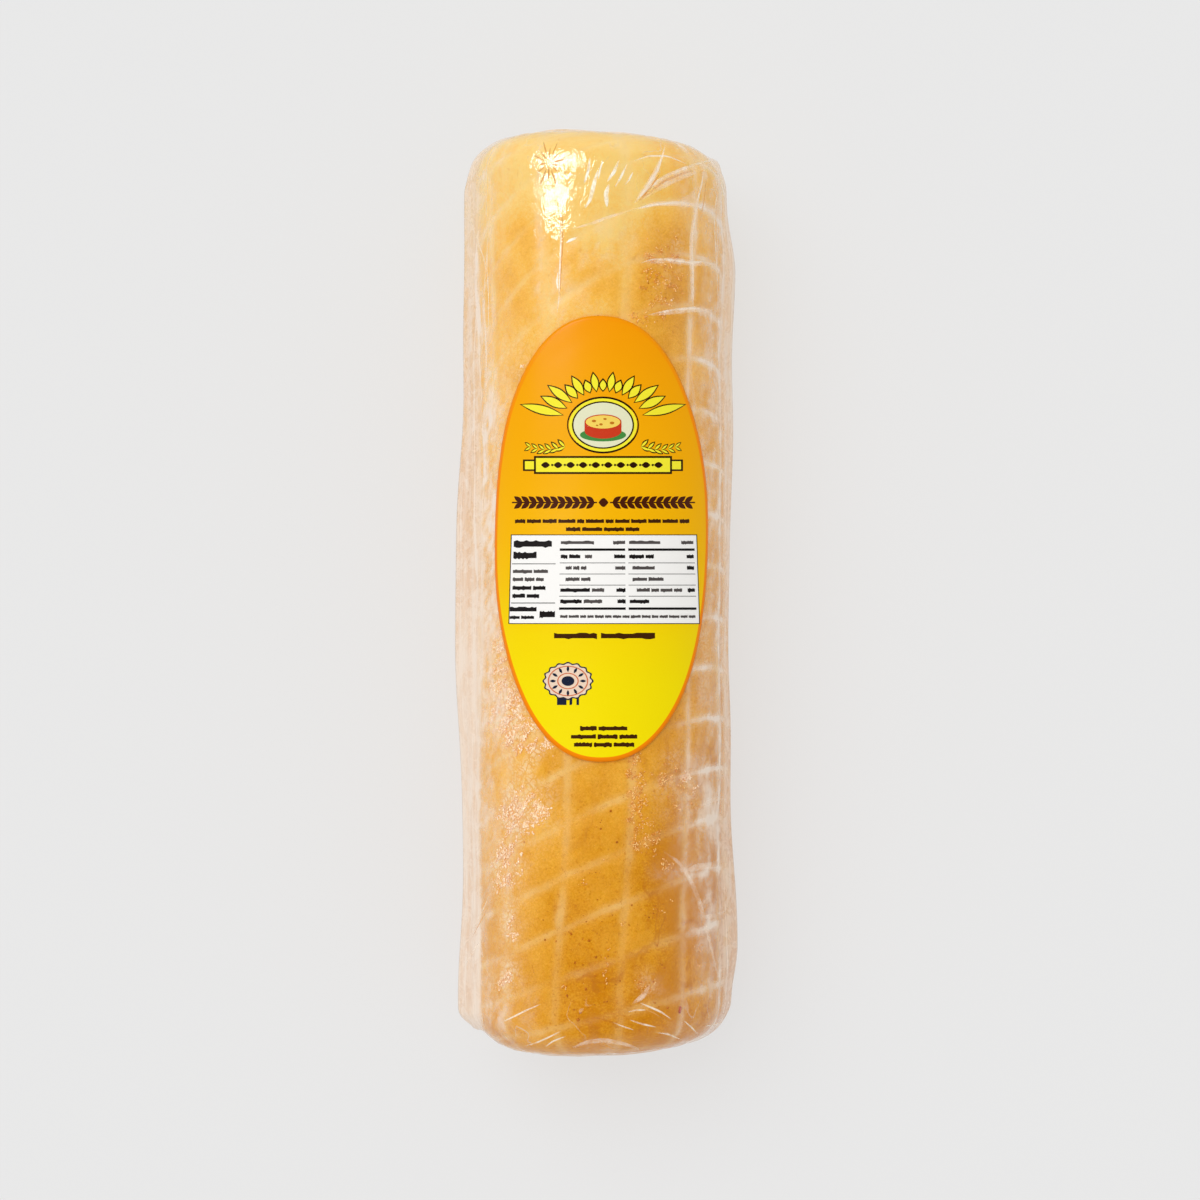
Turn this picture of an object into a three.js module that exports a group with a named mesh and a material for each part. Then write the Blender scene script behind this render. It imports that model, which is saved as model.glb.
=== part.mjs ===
// A whole log of smoked gouda, sealed in a tight clear bag, with one oval label on its top.
// Lengths are in millimetres and angles in degrees. +Z is up and +Y runs along the log.
// The origin is on the surface that the log lies on, under the middle of its box.
//
// The log's skin is described by two numbers. The run is the distance along the log, measured over
// the skin: it is 0 halfway, and it goes on round each end edge to the middle of that end face.
// The turn is the angle round the log: 0 at the top, 90 on the +X side and 180 underneath.

import * as THREE from 'three';

const { clamp, degToRad, radToDeg, lerp, smoothstep } = THREE.MathUtils;

// The cheese
const LOG_LENGTH = 344;
const LOG_RADIUS = 47.5;
const END_EDGE_RADIUS = 16;
const END_DOME = 2.5;
const FAR_END_SLANT = -0.05;
const NEAR_END_SLANT = 0.035;
const REST_FLAT_DEPTH = 2.2;

// Its unevenness fades out between these depths below its axis, in shares of its radius, so that
// its underside lies evenly
const UNEVEN_FADE = { from: 0.4, to: 0.9 };

// The slow unevenness of its side: how high, how long, how many lobes round it, and where they start
const SWELLS = [
  { height: 0.45, length: 175, lobes: 1, start: 35, facing: 20 },
  { height: 0.3, length: 96, lobes: 2, start: 115, facing: -35 },
  { height: 0.2, length: 61, lobes: 3, start: 250, facing: 70 },
];

// The net that marked it: strings along the log and hoops round it
const STRING_COUNT = 12;
const FIRST_STRING_TURN = 12;
const STRING_MARK_DEPTH = 0.6;
const STRING_LEAN = -6;
const STRING_SPREAD = 9;
const STRING_DRIFT = { from: -60, to: 130 };
const STRING_WAVE = { turn: 3.2, length: 180, start: 240 };
const GATHER_DEPTH = 1.1;
const HOOP_COUNT = 21;
const HOOP_PITCH = 17.92;
const FIRST_HOOP_RUN = -178;
const HOOP_MARK_DEPTH = 0.5;
const HOOP_RISE = { near: 18.9, far: 26.8 };
const HOOP_ARCH = { near: 6.5, far: 28.6 };
const HOOP_SHAPE_REACH = 120;
const HOOP_FADE = { from: 115, to: 212 };

// The bag's fin, where its film stands off both sides and both ends: its ridge's height at runs
// from the near end to the far one. The near left corner is a flap, and the far right one an ear.
const LEFT_FIN = [
  [-195, 2.6], [-172, 0.3], [-166, 0.7], [-164, 3], [-157, 6.7], [-89, 5], [-3, 8.4],
  [80, 5], [150, 4.2], [160, 2.6], [172, 1.4], [195, 2.6],
];
const RIGHT_FIN = [
  [-195, 2.6], [-174, 1.5], [-165, 2], [-158, 2.6], [-137, 5], [-60, 2.4], [0, 1.9],
  [80, 3.5], [124, 4.2], [151, 1.2], [163, 1], [167, 2], [172, 0.6], [195, 2.6],
];
const CONTACT_STANDOFF = 0.5;

// Where the skin's mesh has its lines, as shares of a string's or hoop's spacing
const STRING_COLUMNS = [0, 0.085, 0.33, 0.6, 0.915];
const HOOP_ROWS = [-0.11, 0, 0.11, 0.5];
const END_ROWS = [0.28, 0.56, 0.84];

// The label, an oval wrapped over the top, given by its size seen from above
const LABEL_LENGTH = 164;
const LABEL_WIDTH = 79;
const LABEL_CENTRE_Y = 20;
const LABEL_CENTRE_TURN = 0.9;
const LABEL_ROUNDNESS = 2.25;
const LABEL_THICKNESS = 0.4;
const LABEL_CLEARANCE = 0.5;
const LABEL_SPOKES = 48;
const LABEL_RINGS = 7;

// Worked out from those
const STRAIGHT_RUN = LOG_LENGTH / 2 - END_EDGE_RADIUS;
const EDGE_RUN = (END_EDGE_RADIUS * Math.PI) / 2;
const FACE_RADIUS = LOG_RADIUS - END_EDGE_RADIUS;
const FACE_START_RUN = STRAIGHT_RUN + EDGE_RUN;
const POLE_RUN = FACE_START_RUN + FACE_RADIUS;
const AXIS_HEIGHT = LOG_RADIUS - REST_FLAT_DEPTH;
const AXIS_X = (tallest(LEFT_FIN) - tallest(RIGHT_FIN)) / 2;
const STRING_SPACING = 360 / STRING_COUNT;

function sine(degrees) {
  return Math.sin(degToRad(degrees));
}

function cosine(degrees) {
  return Math.cos(degToRad(degrees));
}

function tallest(stations) {
  return Math.max(...stations.map(([, height]) => height));
}

// The height at a run, on a smooth curve through stations that each give a run and a height.
function heightBetween(stations, run) {
  const last = stations.length - 1;
  const inside = clamp(run, stations[0][0], stations[last][0]);
  const next = clamp(stations.findIndex(([place]) => place >= inside), 1, last);
  const [startRun, startHeight] = stations[next - 1];
  const [endRun, endHeight] = stations[next];
  return lerp(startHeight, endHeight, smoothstep(inside, startRun, endRun));
}

// The log's half outline: distance from its axis, place along Y, and the direction facing out.
function outline(run) {
  const end = Math.sign(run);
  const edgeTurn = clamp((Math.abs(run) - STRAIGHT_RUN) / EDGE_RUN, 0, 1) * 90;
  const faceShare = Math.max(Math.abs(run) - FACE_START_RUN, 0) / FACE_RADIUS;
  const dome = END_DOME * (1 - (1 - faceShare) ** 2);
  const straight = clamp(run, -STRAIGHT_RUN, STRAIGHT_RUN);
  return {
    radius: FACE_RADIUS * (1 - faceShare) + END_EDGE_RADIUS * cosine(edgeTurn),
    y: straight + end * (END_EDGE_RADIUS * sine(edgeTurn) + dome),
    outward: cosine(edgeTurn),
    endward: end * sine(edgeTurn),
  };
}

// How uneven the log is at a turn: 1 on its top and sides, and 0 on the underside that it lies on.
function unevenness(turn) {
  return 1 - smoothstep(-cosine(turn), UNEVEN_FADE.from, UNEVEN_FADE.to);
}

// How far the side swells out, as the sum of a few long waves.
function swell(y, turn) {
  const wave = ({ height, length, lobes, start, facing }) =>
    height * sine((y / length) * 360 + start) * cosine(lobes * turn - facing);
  return unevenness(turn) * SWELLS.map(wave).reduce((sum, value) => sum + value);
}

// A net line's turn once the strings have drifted: they wave a little all along, and towards the
// far end they lean to one side and spread.
function driftedTurn(run, turn) {
  const share = smoothstep(run, STRING_DRIFT.from, STRING_DRIFT.to);
  const wave = STRING_WAVE.turn * sine((run / STRING_WAVE.length) * 360 + STRING_WAVE.start);
  const lean = wave + share * STRING_LEAN;
  const spread = share * STRING_SPREAD;
  return turn + unevenness(turn) * (lean * cosine(turn) + spread * sine(2 * turn));
}

// A hoop's run once it is pulled out of square: it rises across the log and arches over the top.
function pulledRun(run, turn) {
  const share = (clamp(run / HOOP_SHAPE_REACH, -1, 1) + 1) / 2;
  const rise = lerp(HOOP_RISE.near, HOOP_RISE.far, share) * sine(turn);
  const arch = lerp(HOOP_ARCH.near, HOOP_ARCH.far, share) * cosine(turn);
  return run + (rise + arch) * (1 - smoothstep(Math.abs(run), HOOP_FADE.from, HOOP_FADE.to));
}

// How far the film stands off the cheese, falling from the ridge at the axis's height to nothing
// where it meets the log, which is where a flat flank from the ridge would touch the round side.
function finStandoff(run, turn, heightOverAxis) {
  const ridge = heightBetween(sine(turn) < 0 ? LEFT_FIN : RIGHT_FIN, run);
  const reach = LOG_RADIUS * Math.sqrt(1 - (LOG_RADIUS / (LOG_RADIUS + ridge)) ** 2);
  return ridge * Math.max(0, 1 - Math.abs(heightOverAxis) / reach) ** 2;
}

// The depth of the net's mark. A string's mark deepens into a gather over an end face.
function netMark(run, onString, onHoop) {
  const faceShare = smoothstep(Math.abs(run), FACE_START_RUN, POLE_RUN);
  const stringMark = onString ? lerp(STRING_MARK_DEPTH, GATHER_DEPTH, faceShare) : 0;
  const hoopMark = onHoop ? HOOP_MARK_DEPTH : 0;
  return Math.max(stringMark, hoopMark);
}

// A point of the skin, at an outline place and turn, pushed out by standoff. The end faces slant,
// and the log is cut flat where it rests.
function skinPoint(place, turn, standoff) {
  const distance = place.radius + place.outward * standoff;
  const x = distance * sine(turn);
  const farShare = smoothstep(place.y, 0, STRAIGHT_RUN);
  const nearShare = smoothstep(-place.y, 0, STRAIGHT_RUN);
  const slant = x * (farShare * FAR_END_SLANT + nearShare * NEAR_END_SLANT);
  const z = AXIS_HEIGHT + distance * cosine(turn);
  return new THREE.Vector3(AXIS_X + x, place.y + place.endward * standoff + slant, Math.max(z, 0));
}

function logPoint(meshRun, meshTurn, onHoop, onString) {
  const turn = driftedTurn(meshRun, meshTurn);
  const run = pulledRun(meshRun, turn);
  const place = outline(run);
  const fin = finStandoff(run, turn, place.radius * cosine(turn));
  const contact = 1 - smoothstep(fin, 0, CONTACT_STANDOFF);
  const mark = netMark(run, onString, onHoop) * contact;
  return skinPoint(place, turn, place.outward * swell(place.y, turn) + fin - mark);
}

function logRing(run, onHoop) {
  const turns = Array.from({ length: STRING_COUNT }, (_, string) =>
    STRING_COLUMNS.map((column) => FIRST_STRING_TURN + STRING_SPACING * (string + column)));
  return turns.flat().map((turn, index) =>
    logPoint(run, turn, onHoop, index % STRING_COLUMNS.length === 0));
}

// The rings between the last hoop and an end's pole, ordered away from the hoop.
function endRings(lastRun) {
  return END_ROWS.map((share) => logRing(lerp(lastRun, Math.sign(lastRun) * POLE_RUN, share), false));
}

function polePoint(end) {
  const run = end * POLE_RUN;
  return skinPoint(outline(run), 0, finStandoff(run, 0, 0));
}

// A closed geometry from rings of points, stitched ring to ring, with a fan to a pole at each end.
function stitchedGeometry(startPole, rings, endPole) {
  const size = rings[0].length;
  const points = [startPole, ...rings.flat(), endPole];
  const last = points.length - 1;
  const corner = (ring, step) => 1 + ring * size + (step % size);
  const faces = [];
  for (let step = 0; step < size; step += 1) {
    faces.push(0, corner(0, step + 1), corner(0, step));
    for (let ring = 0; ring + 1 < rings.length; ring += 1) {
      faces.push(corner(ring, step), corner(ring, step + 1), corner(ring + 1, step + 1));
      faces.push(corner(ring, step), corner(ring + 1, step + 1), corner(ring + 1, step));
    }
    faces.push(corner(rings.length - 1, step), corner(rings.length - 1, step + 1), last);
  }
  const geometry = new THREE.BufferGeometry().setFromPoints(points);
  geometry.setIndex(faces);
  geometry.computeVertexNormals();
  return geometry;
}

function sealedLogGeometry() {
  const hoops = Array.from({ length: HOOP_COUNT }, (_, hoop) => FIRST_HOOP_RUN + hoop * HOOP_PITCH);
  const rows = hoops.flatMap((hoopRun) =>
    HOOP_ROWS.map((share) => ({ run: hoopRun + share * HOOP_PITCH, onHoop: share === 0 })));
  const sideRings = rows.map(({ run, onHoop }) => logRing(run, onHoop));
  const nearRings = endRings(rows[0].run).reverse();
  const farRings = endRings(rows[rows.length - 1].run);
  return stitchedGeometry(polePoint(-1), [...nearRings, ...sideRings, ...farRings], polePoint(1));
}

// A point of the label: share is 0 at its middle and 1 at its edge, and angle goes round it.
// Its rings are evenly spaced round the log, and its edge is a slightly squared oval from above.
function labelPoint(share, angle, height) {
  const power = 2 / LABEL_ROUNDNESS;
  const across = Math.sign(cosine(angle)) * Math.abs(cosine(angle)) ** power;
  const along = Math.sign(sine(angle)) * Math.abs(sine(angle)) ** power;
  const edgeTurn = radToDeg(Math.asin((across * LABEL_WIDTH) / 2 / LOG_RADIUS));
  const y = LABEL_CENTRE_Y - (share * along * LABEL_LENGTH) / 2;
  const turn = LABEL_CENTRE_TURN + share * edgeTurn;
  return skinPoint(outline(y), turn, swell(y, turn) + height);
}

function labelRing(share, height) {
  return Array.from({ length: LABEL_SPOKES }, (_, spoke) =>
    labelPoint(share, (spoke * 360) / LABEL_SPOKES, height));
}

function labelGeometry() {
  const top = LABEL_CLEARANCE + LABEL_THICKNESS;
  const shares = Array.from({ length: LABEL_RINGS }, (_, ring) => (ring + 1) / LABEL_RINGS);
  const topRings = shares.map((share) => labelRing(share, top));
  const undersideRings = shares.map((share) => labelRing(share, LABEL_CLEARANCE)).reverse();
  return stitchedGeometry(
    labelPoint(0, 0, top),
    [...topRings, ...undersideRings],
    labelPoint(0, 0, LABEL_CLEARANCE),
  );
}

function namedMesh(name, geometry, finish) {
  const mesh = new THREE.Mesh(geometry, new THREE.MeshStandardMaterial(finish));
  mesh.name = name;
  return mesh;
}

const smokedGouda = new THREE.Group();
smokedGouda.add(
  namedMesh('sealed_log', sealedLogGeometry(), { color: 0xe0a348, roughness: 0.28, metalness: 0 }),
  namedMesh('label', labelGeometry(), { color: 0xf6b90a, roughness: 0.35, metalness: 0 }),
);

export default smokedGouda;
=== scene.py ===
import bpy
import numpy as np
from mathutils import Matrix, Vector


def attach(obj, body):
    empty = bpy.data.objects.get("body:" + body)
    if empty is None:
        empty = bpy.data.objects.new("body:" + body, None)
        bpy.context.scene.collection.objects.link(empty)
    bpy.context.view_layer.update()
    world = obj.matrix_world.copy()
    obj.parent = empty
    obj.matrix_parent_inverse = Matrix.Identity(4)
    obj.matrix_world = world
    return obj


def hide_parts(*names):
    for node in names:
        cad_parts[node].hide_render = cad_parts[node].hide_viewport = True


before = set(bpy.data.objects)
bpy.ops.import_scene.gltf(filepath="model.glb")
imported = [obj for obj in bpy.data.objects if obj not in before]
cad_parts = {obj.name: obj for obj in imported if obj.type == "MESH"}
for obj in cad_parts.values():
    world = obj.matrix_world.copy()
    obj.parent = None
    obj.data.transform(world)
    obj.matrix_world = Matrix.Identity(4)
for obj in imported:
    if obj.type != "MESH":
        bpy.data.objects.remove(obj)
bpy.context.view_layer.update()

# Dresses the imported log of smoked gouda: the cheese, its clear bag, its label, and what shows between.
#
# The named values are millimetres and degrees, and pixel places are those of the 1200 x 1200 picture.
# As in the part's source, the skin is described by a run along it, over the skin from the middle of
# its length to the middle of an end face, and by a turn round it, 0 at the top and 90 on the +X side.

MM = 0.001

# The log, with the values of its source
LOG_LENGTH = 344
LOG_RADIUS = 47.5
END_EDGE_RADIUS = 16
END_DOME = 2.5
FAR_END_SLANT = -0.05
NEAR_END_SLANT = 0.035
REST_FLAT_DEPTH = 2.2
UNEVEN_FADE = (0.4, 0.9)
SWELLS = ((0.45, 175, 1, 35, 20), (0.3, 96, 2, 115, -35), (0.2, 61, 3, 250, 70))
STRING_SPACING = 30
FIRST_STRING_TURN = 12
STRING_LEAN = -6
STRING_SPREAD = 9
STRING_DRIFT = (-60, 130)
STRING_WAVE = (3.2, 180, 240)
HOOP_COUNT = 21
HOOP_PITCH = 17.92
FIRST_HOOP_RUN = -178
HOOP_RISE = (18.9, 26.8)
HOOP_ARCH = (6.5, 28.6)
HOOP_SHAPE_REACH = 120
HOOP_FADE = (115, 212)
LEFT_FIN = ((-195, 2.6), (-172, 0.3), (-166, 0.7), (-164, 3), (-157, 6.7), (-89, 5), (-3, 8.4),
            (80, 5), (150, 4.2), (160, 2.6), (172, 1.4), (195, 2.6))
RIGHT_FIN = ((-195, 2.6), (-174, 1.5), (-165, 2), (-158, 2.6), (-137, 5), (-60, 2.4), (0, 1.9),
             (80, 3.5), (124, 4.2), (151, 1.2), (163, 1), (167, 2), (172, 0.6), (195, 2.6))
LABEL_LENGTH = 164
LABEL_WIDTH = 79
LABEL_CENTRE_Y = 20
LABEL_CENTRE_TURN = 0.9
LABEL_ROUNDNESS = 2.25

# Worked out from those, as in the source
STRAIGHT_RUN = LOG_LENGTH / 2 - END_EDGE_RADIUS
EDGE_RUN = END_EDGE_RADIUS * np.pi / 2
FACE_RADIUS = LOG_RADIUS - END_EDGE_RADIUS
FACE_START_RUN = STRAIGHT_RUN + EDGE_RUN
POLE_RUN = FACE_START_RUN + FACE_RADIUS
AXIS_HEIGHT = LOG_RADIUS - REST_FLAT_DEPTH
AXIS_X = (8.4 - 5) / 2

# The camera looks straight down. The scale is that of the picture at the height of the log's axis.
PICTURE_SIZE = 1200
SENSOR = 36
CAMERA = (1.7, -2.5, 1223.3)
PIXELS_PER_MM = 2.61
FOCAL_PIXELS = PIXELS_PER_MM * (CAMERA[2] - AXIS_HEIGHT)

# How far each layer lies outside the log's even skin
CHEESE_INSET = -0.55
CHEESE_FLOOR = 0.55
LABEL_UNDERSIDE = 0.3
LABEL_TOP = 0.46
PRINT_LIFT = 0.03

# Half widths of the net's grooves, under a string and under a hoop
GROOVE_WIDTHS = (2.6, 2.4)

# Rounds of the repeated guesses, for a place in the even net and for the place under a pixel, and the
# share of the pixels that are left which each round of the latter makes up
RUN_ROUNDS = 24
TURN_ROUNDS = 12
PIXEL_ROUNDS = 60
PIXEL_SHARE = 0.7


def sine(degrees):
    """Sine of an angle in degrees."""
    return np.sin(np.deg2rad(degrees))


def cosine(degrees):
    """Cosine of an angle in degrees."""
    return np.cos(np.deg2rad(degrees))


def smooth(value, low, high):
    """0 below low and 1 above high, with three t squared less two t cubed between them."""
    share = np.clip((value - low) / (high - low), 0, 1)
    return share * share * (3 - 2 * share)


def mix(low, high, share):
    """Straight from low to high, by share."""
    return low + (high - low) * share


def joined(*parts):
    """Points, pixels or rows from their parts, each a number or an array."""
    return np.stack(np.broadcast_arrays(*parts), -1)


def between(run, stations):
    """The height at a run: smooth steps from each station's height to the next one's."""
    places, heights = np.array(stations, float).T
    after = np.clip(np.searchsorted(places, run), 1, len(places) - 1)
    return mix(heights[after - 1], heights[after], smooth(run, places[after - 1], places[after]))


def waves(places, length, seed, count=14):
    """Sum of plane waves of about that length, with seeded directions, paces and starts."""
    draw = np.random.default_rng(seed)
    facing = draw.normal(size=(3, count))
    facing /= np.linalg.norm(facing, axis=0)
    pace = 2 * np.pi / length * draw.uniform(0.6, 1.7, count)
    return np.sin(places @ (facing * pace) + draw.uniform(0, 2 * np.pi, count)).sum(-1) / np.sqrt(count)


def layered(places, layers):
    """Sum of waves, each layer with its height, its length and its seed."""
    return sum(height * waves(places, length, seed) for height, length, seed in layers)


# ---------------------------------------------------------------- the log's skin

def outline(run):
    """Half outline of the log: a straight side, a quarter round edge, and a lightly domed end face.

    Gives the distance from the axis, the place along Y, and the facing's outward and endward parts.
    """
    end = np.sign(run)
    edge = np.clip((np.abs(run) - STRAIGHT_RUN) / EDGE_RUN, 0, 1) * 90
    face = np.maximum(np.abs(run) - FACE_START_RUN, 0) / FACE_RADIUS
    dome = END_DOME * (1 - (1 - face) ** 2)
    radius = FACE_RADIUS * (1 - face) + END_EDGE_RADIUS * cosine(edge)
    y = np.clip(run, -STRAIGHT_RUN, STRAIGHT_RUN) + end * (END_EDGE_RADIUS * sine(edge) + dome)
    return radius, y, cosine(edge), end * sine(edge)


def skin(run, turn, standoff=0, floor=0):
    """Points of the log pushed out by standoff: its outline turned round the axis, its end faces
    slanted in proportion to x, and its underside cut flat at the floor's height."""
    radius, y, outward, endward = outline(run)
    distance = radius + outward * standoff
    x = distance * sine(turn)
    slant = x * (smooth(y, 0, STRAIGHT_RUN) * FAR_END_SLANT + smooth(-y, 0, STRAIGHT_RUN) * NEAR_END_SLANT)
    z = np.maximum(AXIS_HEIGHT + distance * cosine(turn), floor)
    return joined(AXIS_X + x, y + endward * standoff + slant, z)


def unevenness(turn):
    """How much of the log's unevenness there is: all of it but for the underside, which is even."""
    return 1 - smooth(-cosine(turn), *UNEVEN_FADE)


def swell(y, turn):
    """Slow unevenness: a sum of waves along the log, each with some lobes round it."""
    total = sum(height * sine(y / length * 360 + start) * cosine(lobes * turn - facing)
                for height, length, lobes, start, facing in SWELLS)
    return total * unevenness(turn)


def ridge(run, turn):
    """How far the bag's ridge stands off on that side of the log."""
    return np.where(sine(turn) < 0, between(run, LEFT_FIN), between(run, RIGHT_FIN))


def fin(run, turn):
    """How far the bag stands off: the ridge's height, times the square of the share of the way from
    the line where a flank touches the log up to the ridge."""
    high = ridge(run, turn)
    reach = LOG_RADIUS * np.sqrt(1 - (LOG_RADIUS / (LOG_RADIUS + high)) ** 2)
    height = np.abs(outline(run)[0] * cosine(turn))
    return high * np.maximum(0, 1 - height / reach) ** 2


def net_place(run, turn):
    """Where a place of the skin lies in the even net: the net's drift and pull, undone by repeating
    even = place - (shift at even)."""
    even_turn = turn
    even_run = run
    for _ in range(RUN_ROUNDS):
        share = (np.clip(even_run / HOOP_SHAPE_REACH, -1, 1) + 1) / 2
        shift = mix(*HOOP_RISE, share) * sine(turn) + mix(*HOOP_ARCH, share) * cosine(turn)
        even_run = run - shift * (1 - smooth(np.abs(even_run), *HOOP_FADE))
    amount, length, start = STRING_WAVE
    far = smooth(even_run, *STRING_DRIFT)
    lean = far * STRING_LEAN + amount * sine(even_run / length * 360 + start)
    for _ in range(TURN_ROUNDS):
        shift = lean * cosine(even_turn) + far * STRING_SPREAD * sine(2 * even_turn)
        even_turn = turn - unevenness(even_turn) * shift
    return even_run, even_turn


def net_distances(run, turn):
    """How far a place is past the nearest string and past the nearest hoop of the net, with a sign
    for the side that it is on."""
    even_run, even_turn = net_place(run, turn)
    strings = (even_turn - FIRST_STRING_TURN) / STRING_SPACING
    string = (strings - np.round(strings)) * np.deg2rad(STRING_SPACING) * outline(run)[0]
    hoops = (even_run - FIRST_HOOP_RUN) / HOOP_PITCH
    hoop = (hoops - np.clip(np.round(hoops), 0, HOOP_COUNT - 1)) * HOOP_PITCH
    return string, hoop


def bell(distance, width):
    """Exponential of minus the square of distance over width."""
    return np.exp(-(distance / width) ** 2)


def end_face(run):
    """0 on the log's side and 1 on its end faces."""
    return smooth(np.abs(run), FACE_START_RUN - 8, POLE_RUN - 6)


def net_bells(string, hoop, face):
    """Bells under the net's strings and hoops, without the hoops on the end faces."""
    return np.maximum(bell(string, GROOVE_WIDTHS[0]), bell(hoop, GROOVE_WIDTHS[1]) * (1 - face))


def spots(across, down, places):
    """Sum of soft round spots, each given by its pixel, its radii across and down, and its strength."""
    return sum(strength * np.exp(-((across - x) / wide) ** 2 - ((down - y) / high) ** 2)
               for x, y, wide, high, strength in places)


def unit(arrows):
    """Each arrow over its own length."""
    return arrows / np.linalg.norm(arrows, axis=-1, keepdims=True)


# ---------------------------------------------------------------- from the picture to the skin

def on_picture(points):
    """Pixel of each point: perspective from the camera, with rows counted downwards."""
    depth = CAMERA[2] - points[..., 2]
    across = PICTURE_SIZE / 2 + FOCAL_PIXELS * (points[..., 0] - CAMERA[0]) / depth
    down = PICTURE_SIZE / 2 - FOCAL_PIXELS * (points[..., 1] - CAMERA[1]) / depth
    return across, down


def on_skin(across, down, standoff):
    """The run and turn that show at a pixel, from above: a first guess moved by a part of the
    pixels that it is off, over and over. standoff is a function of run and turn."""
    pixels_round = PIXELS_PER_MM * LOG_RADIUS
    run = (PICTURE_SIZE / 2 - down) / PIXELS_PER_MM + CAMERA[1]
    turn = np.rad2deg(np.arcsin(np.clip((across - PICTURE_SIZE / 2) / pixels_round, -0.99, 0.99)))
    for _ in range(PIXEL_ROUNDS):
        seen_across, seen_down = on_picture(skin(run, turn, standoff(run, turn)))
        turn = np.clip(turn + np.rad2deg((across - seen_across) / pixels_round) * PIXEL_SHARE, -92, 92)
        run = run + (seen_down - down) / PIXELS_PER_MM * PIXEL_SHARE
    return run, turn


# ---------------------------------------------------------------- meshes

def new_piece(name, points, faces, attributes=None, smooth_faces=True):
    """Makes a piece from points in millimetres and faces, and lets it ride on the part's body."""
    mesh = bpy.data.meshes.new(name)
    mesh.from_pydata((points * MM).tolist(), [], faces if isinstance(faces, list) else faces.tolist())
    for key, values in (attributes or {}).items():
        layer = mesh.attributes.new(key, "FLOAT", "POINT")
        layer.data.foreach_set("value", np.asarray(values, np.float32).ravel())
    mesh.polygons.foreach_set("use_smooth", np.full(len(mesh.polygons), smooth_faces))
    piece = bpy.data.objects.new(name, mesh)
    bpy.context.scene.collection.objects.link(piece)
    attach(piece, "root")
    return piece


def as_film(piece):
    """Lets light through a piece of the clear film without a shadow, as thin clear film does."""
    piece.visible_shadow = False
    piece.visible_diffuse = False


def ring_faces(rows, columns):
    """Faces of a tube of rings, each step joined to the next and the last to the first."""
    row, column = np.meshgrid(np.arange(rows - 1), np.arange(columns), indexing="ij")
    beside = (column + 1) % columns
    start, end = row * columns, (row + 1) * columns
    return joined(start + column, start + beside, end + beside, end + column).reshape(-1, 4)


def closed_tube(rings, start_pole, end_pole):
    """A closed skin: rings of points (rows, columns, 3) stitched together, with a fan to each pole."""
    rows, columns = rings.shape[:2]
    step = np.arange(columns)
    beside = (step + 1) % columns
    last = (rows - 1) * columns
    start_fan = joined(beside, step, rows * columns)
    end_fan = joined(last + step, last + beside, rows * columns + 1)
    faces = [face for part in (ring_faces(rows, columns), start_fan, end_fan) for face in part.tolist()]
    return np.vstack([rings.reshape(-1, 3), start_pole, end_pole]), faces


def tube_piece(name, rings, ends, attributes):
    """A piece made of closed_tube, with attributes of its ring points, carried on to the poles."""
    points, faces = closed_tube(rings, *ends)
    with_poles = {key: np.append(values, [values[0].mean(), values[-1].mean()])
                  for key, values in attributes.items()}
    return new_piece(name, points, faces, with_poles)


# ---------------------------------------------------------------- materials

def new_finish(name):
    """A new material and its empty node tree."""
    material = bpy.data.materials.new(name)
    material.use_nodes = True
    material.node_tree.nodes.clear()
    return material, material.node_tree


class Wire:
    """A value in a node tree. Sums, differences and products of wires and numbers add Math nodes."""

    def __init__(self, tree, socket):
        self.tree, self.socket = tree, socket

    def math(self, operation, *values):
        return add(self.tree, "Math", dict(enumerate(values)), operation=operation)

    def __add__(self, other):
        return self.math("ADD", self, other)

    def __sub__(self, other):
        return self.math("SUBTRACT", self, other)

    def __rsub__(self, other):
        return self.math("SUBTRACT", other, self)

    def __mul__(self, other):
        return self.math("MULTIPLY", self, other)

    def __abs__(self):
        return self.math("ABSOLUTE", self)

    __radd__ = __add__
    __rmul__ = __mul__


def add(tree, kind, inputs=None, output=0, **settings):
    """Adds a node with its settings, sets or links each input, by name or number, and gives the wire
    of one output."""
    made = tree.nodes.new("ShaderNode" + kind)
    for key, value in settings.items():
        setattr(made, key, value)
    for key, value in (inputs or {}).items():
        if isinstance(value, Wire):
            tree.links.new(value.socket, made.inputs[key])
        else:
            made.inputs[key].default_value = value
    return Wire(tree, made.outputs[output]) if made.outputs else None


def larger(one, other):
    """The larger of two values."""
    return one.math("MAXIMUM", one, other)


def blend(share, low, high):
    """A colour between two, by share."""
    return add(share.tree, "Mix", {0: share, 6: low, 7: high}, 2, data_type="RGBA")


def attribute(tree, name):
    """A number painted on the piece's points."""
    return add(tree, "Attribute", None, "Fac", attribute_name=name)


def object_place(tree, scale=(1, 1, 1)):
    """The place in the piece's own axes, in metres, times a scale."""
    return add(tree, "Mapping", {"Vector": add(tree, "TexCoord", None, "Object"), "Scale": scale})


def noise(place, scale, detail=3, roughness=0.55, distortion=0, output=0):
    """Cloudy noise about 0.5, finer as its scale grows."""
    return add(place.tree, "TexNoise", {"Vector": place, "Scale": scale, "Detail": detail,
                                        "Roughness": roughness, "Distortion": distortion}, output)


def ramp(share, stops):
    """A colour ramp through stops of (place, colour)."""
    made = share.tree.nodes.new("ShaderNodeValToRGB")
    share.tree.links.new(share.socket, made.inputs[0])
    for place, _ in stops[1:-1]:
        made.color_ramp.elements.new(place)
    for element, (place, colour) in zip(made.color_ramp.elements, stops):
        element.position, element.color = place, colour
    return Wire(share.tree, made.outputs[0])


def steps(share, low, high):
    """0 below low, 1 above high, and an S between."""
    return add(share.tree, "MapRange", {0: share, 1: low, 2: high}, interpolation_type="SMOOTHSTEP")


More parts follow.
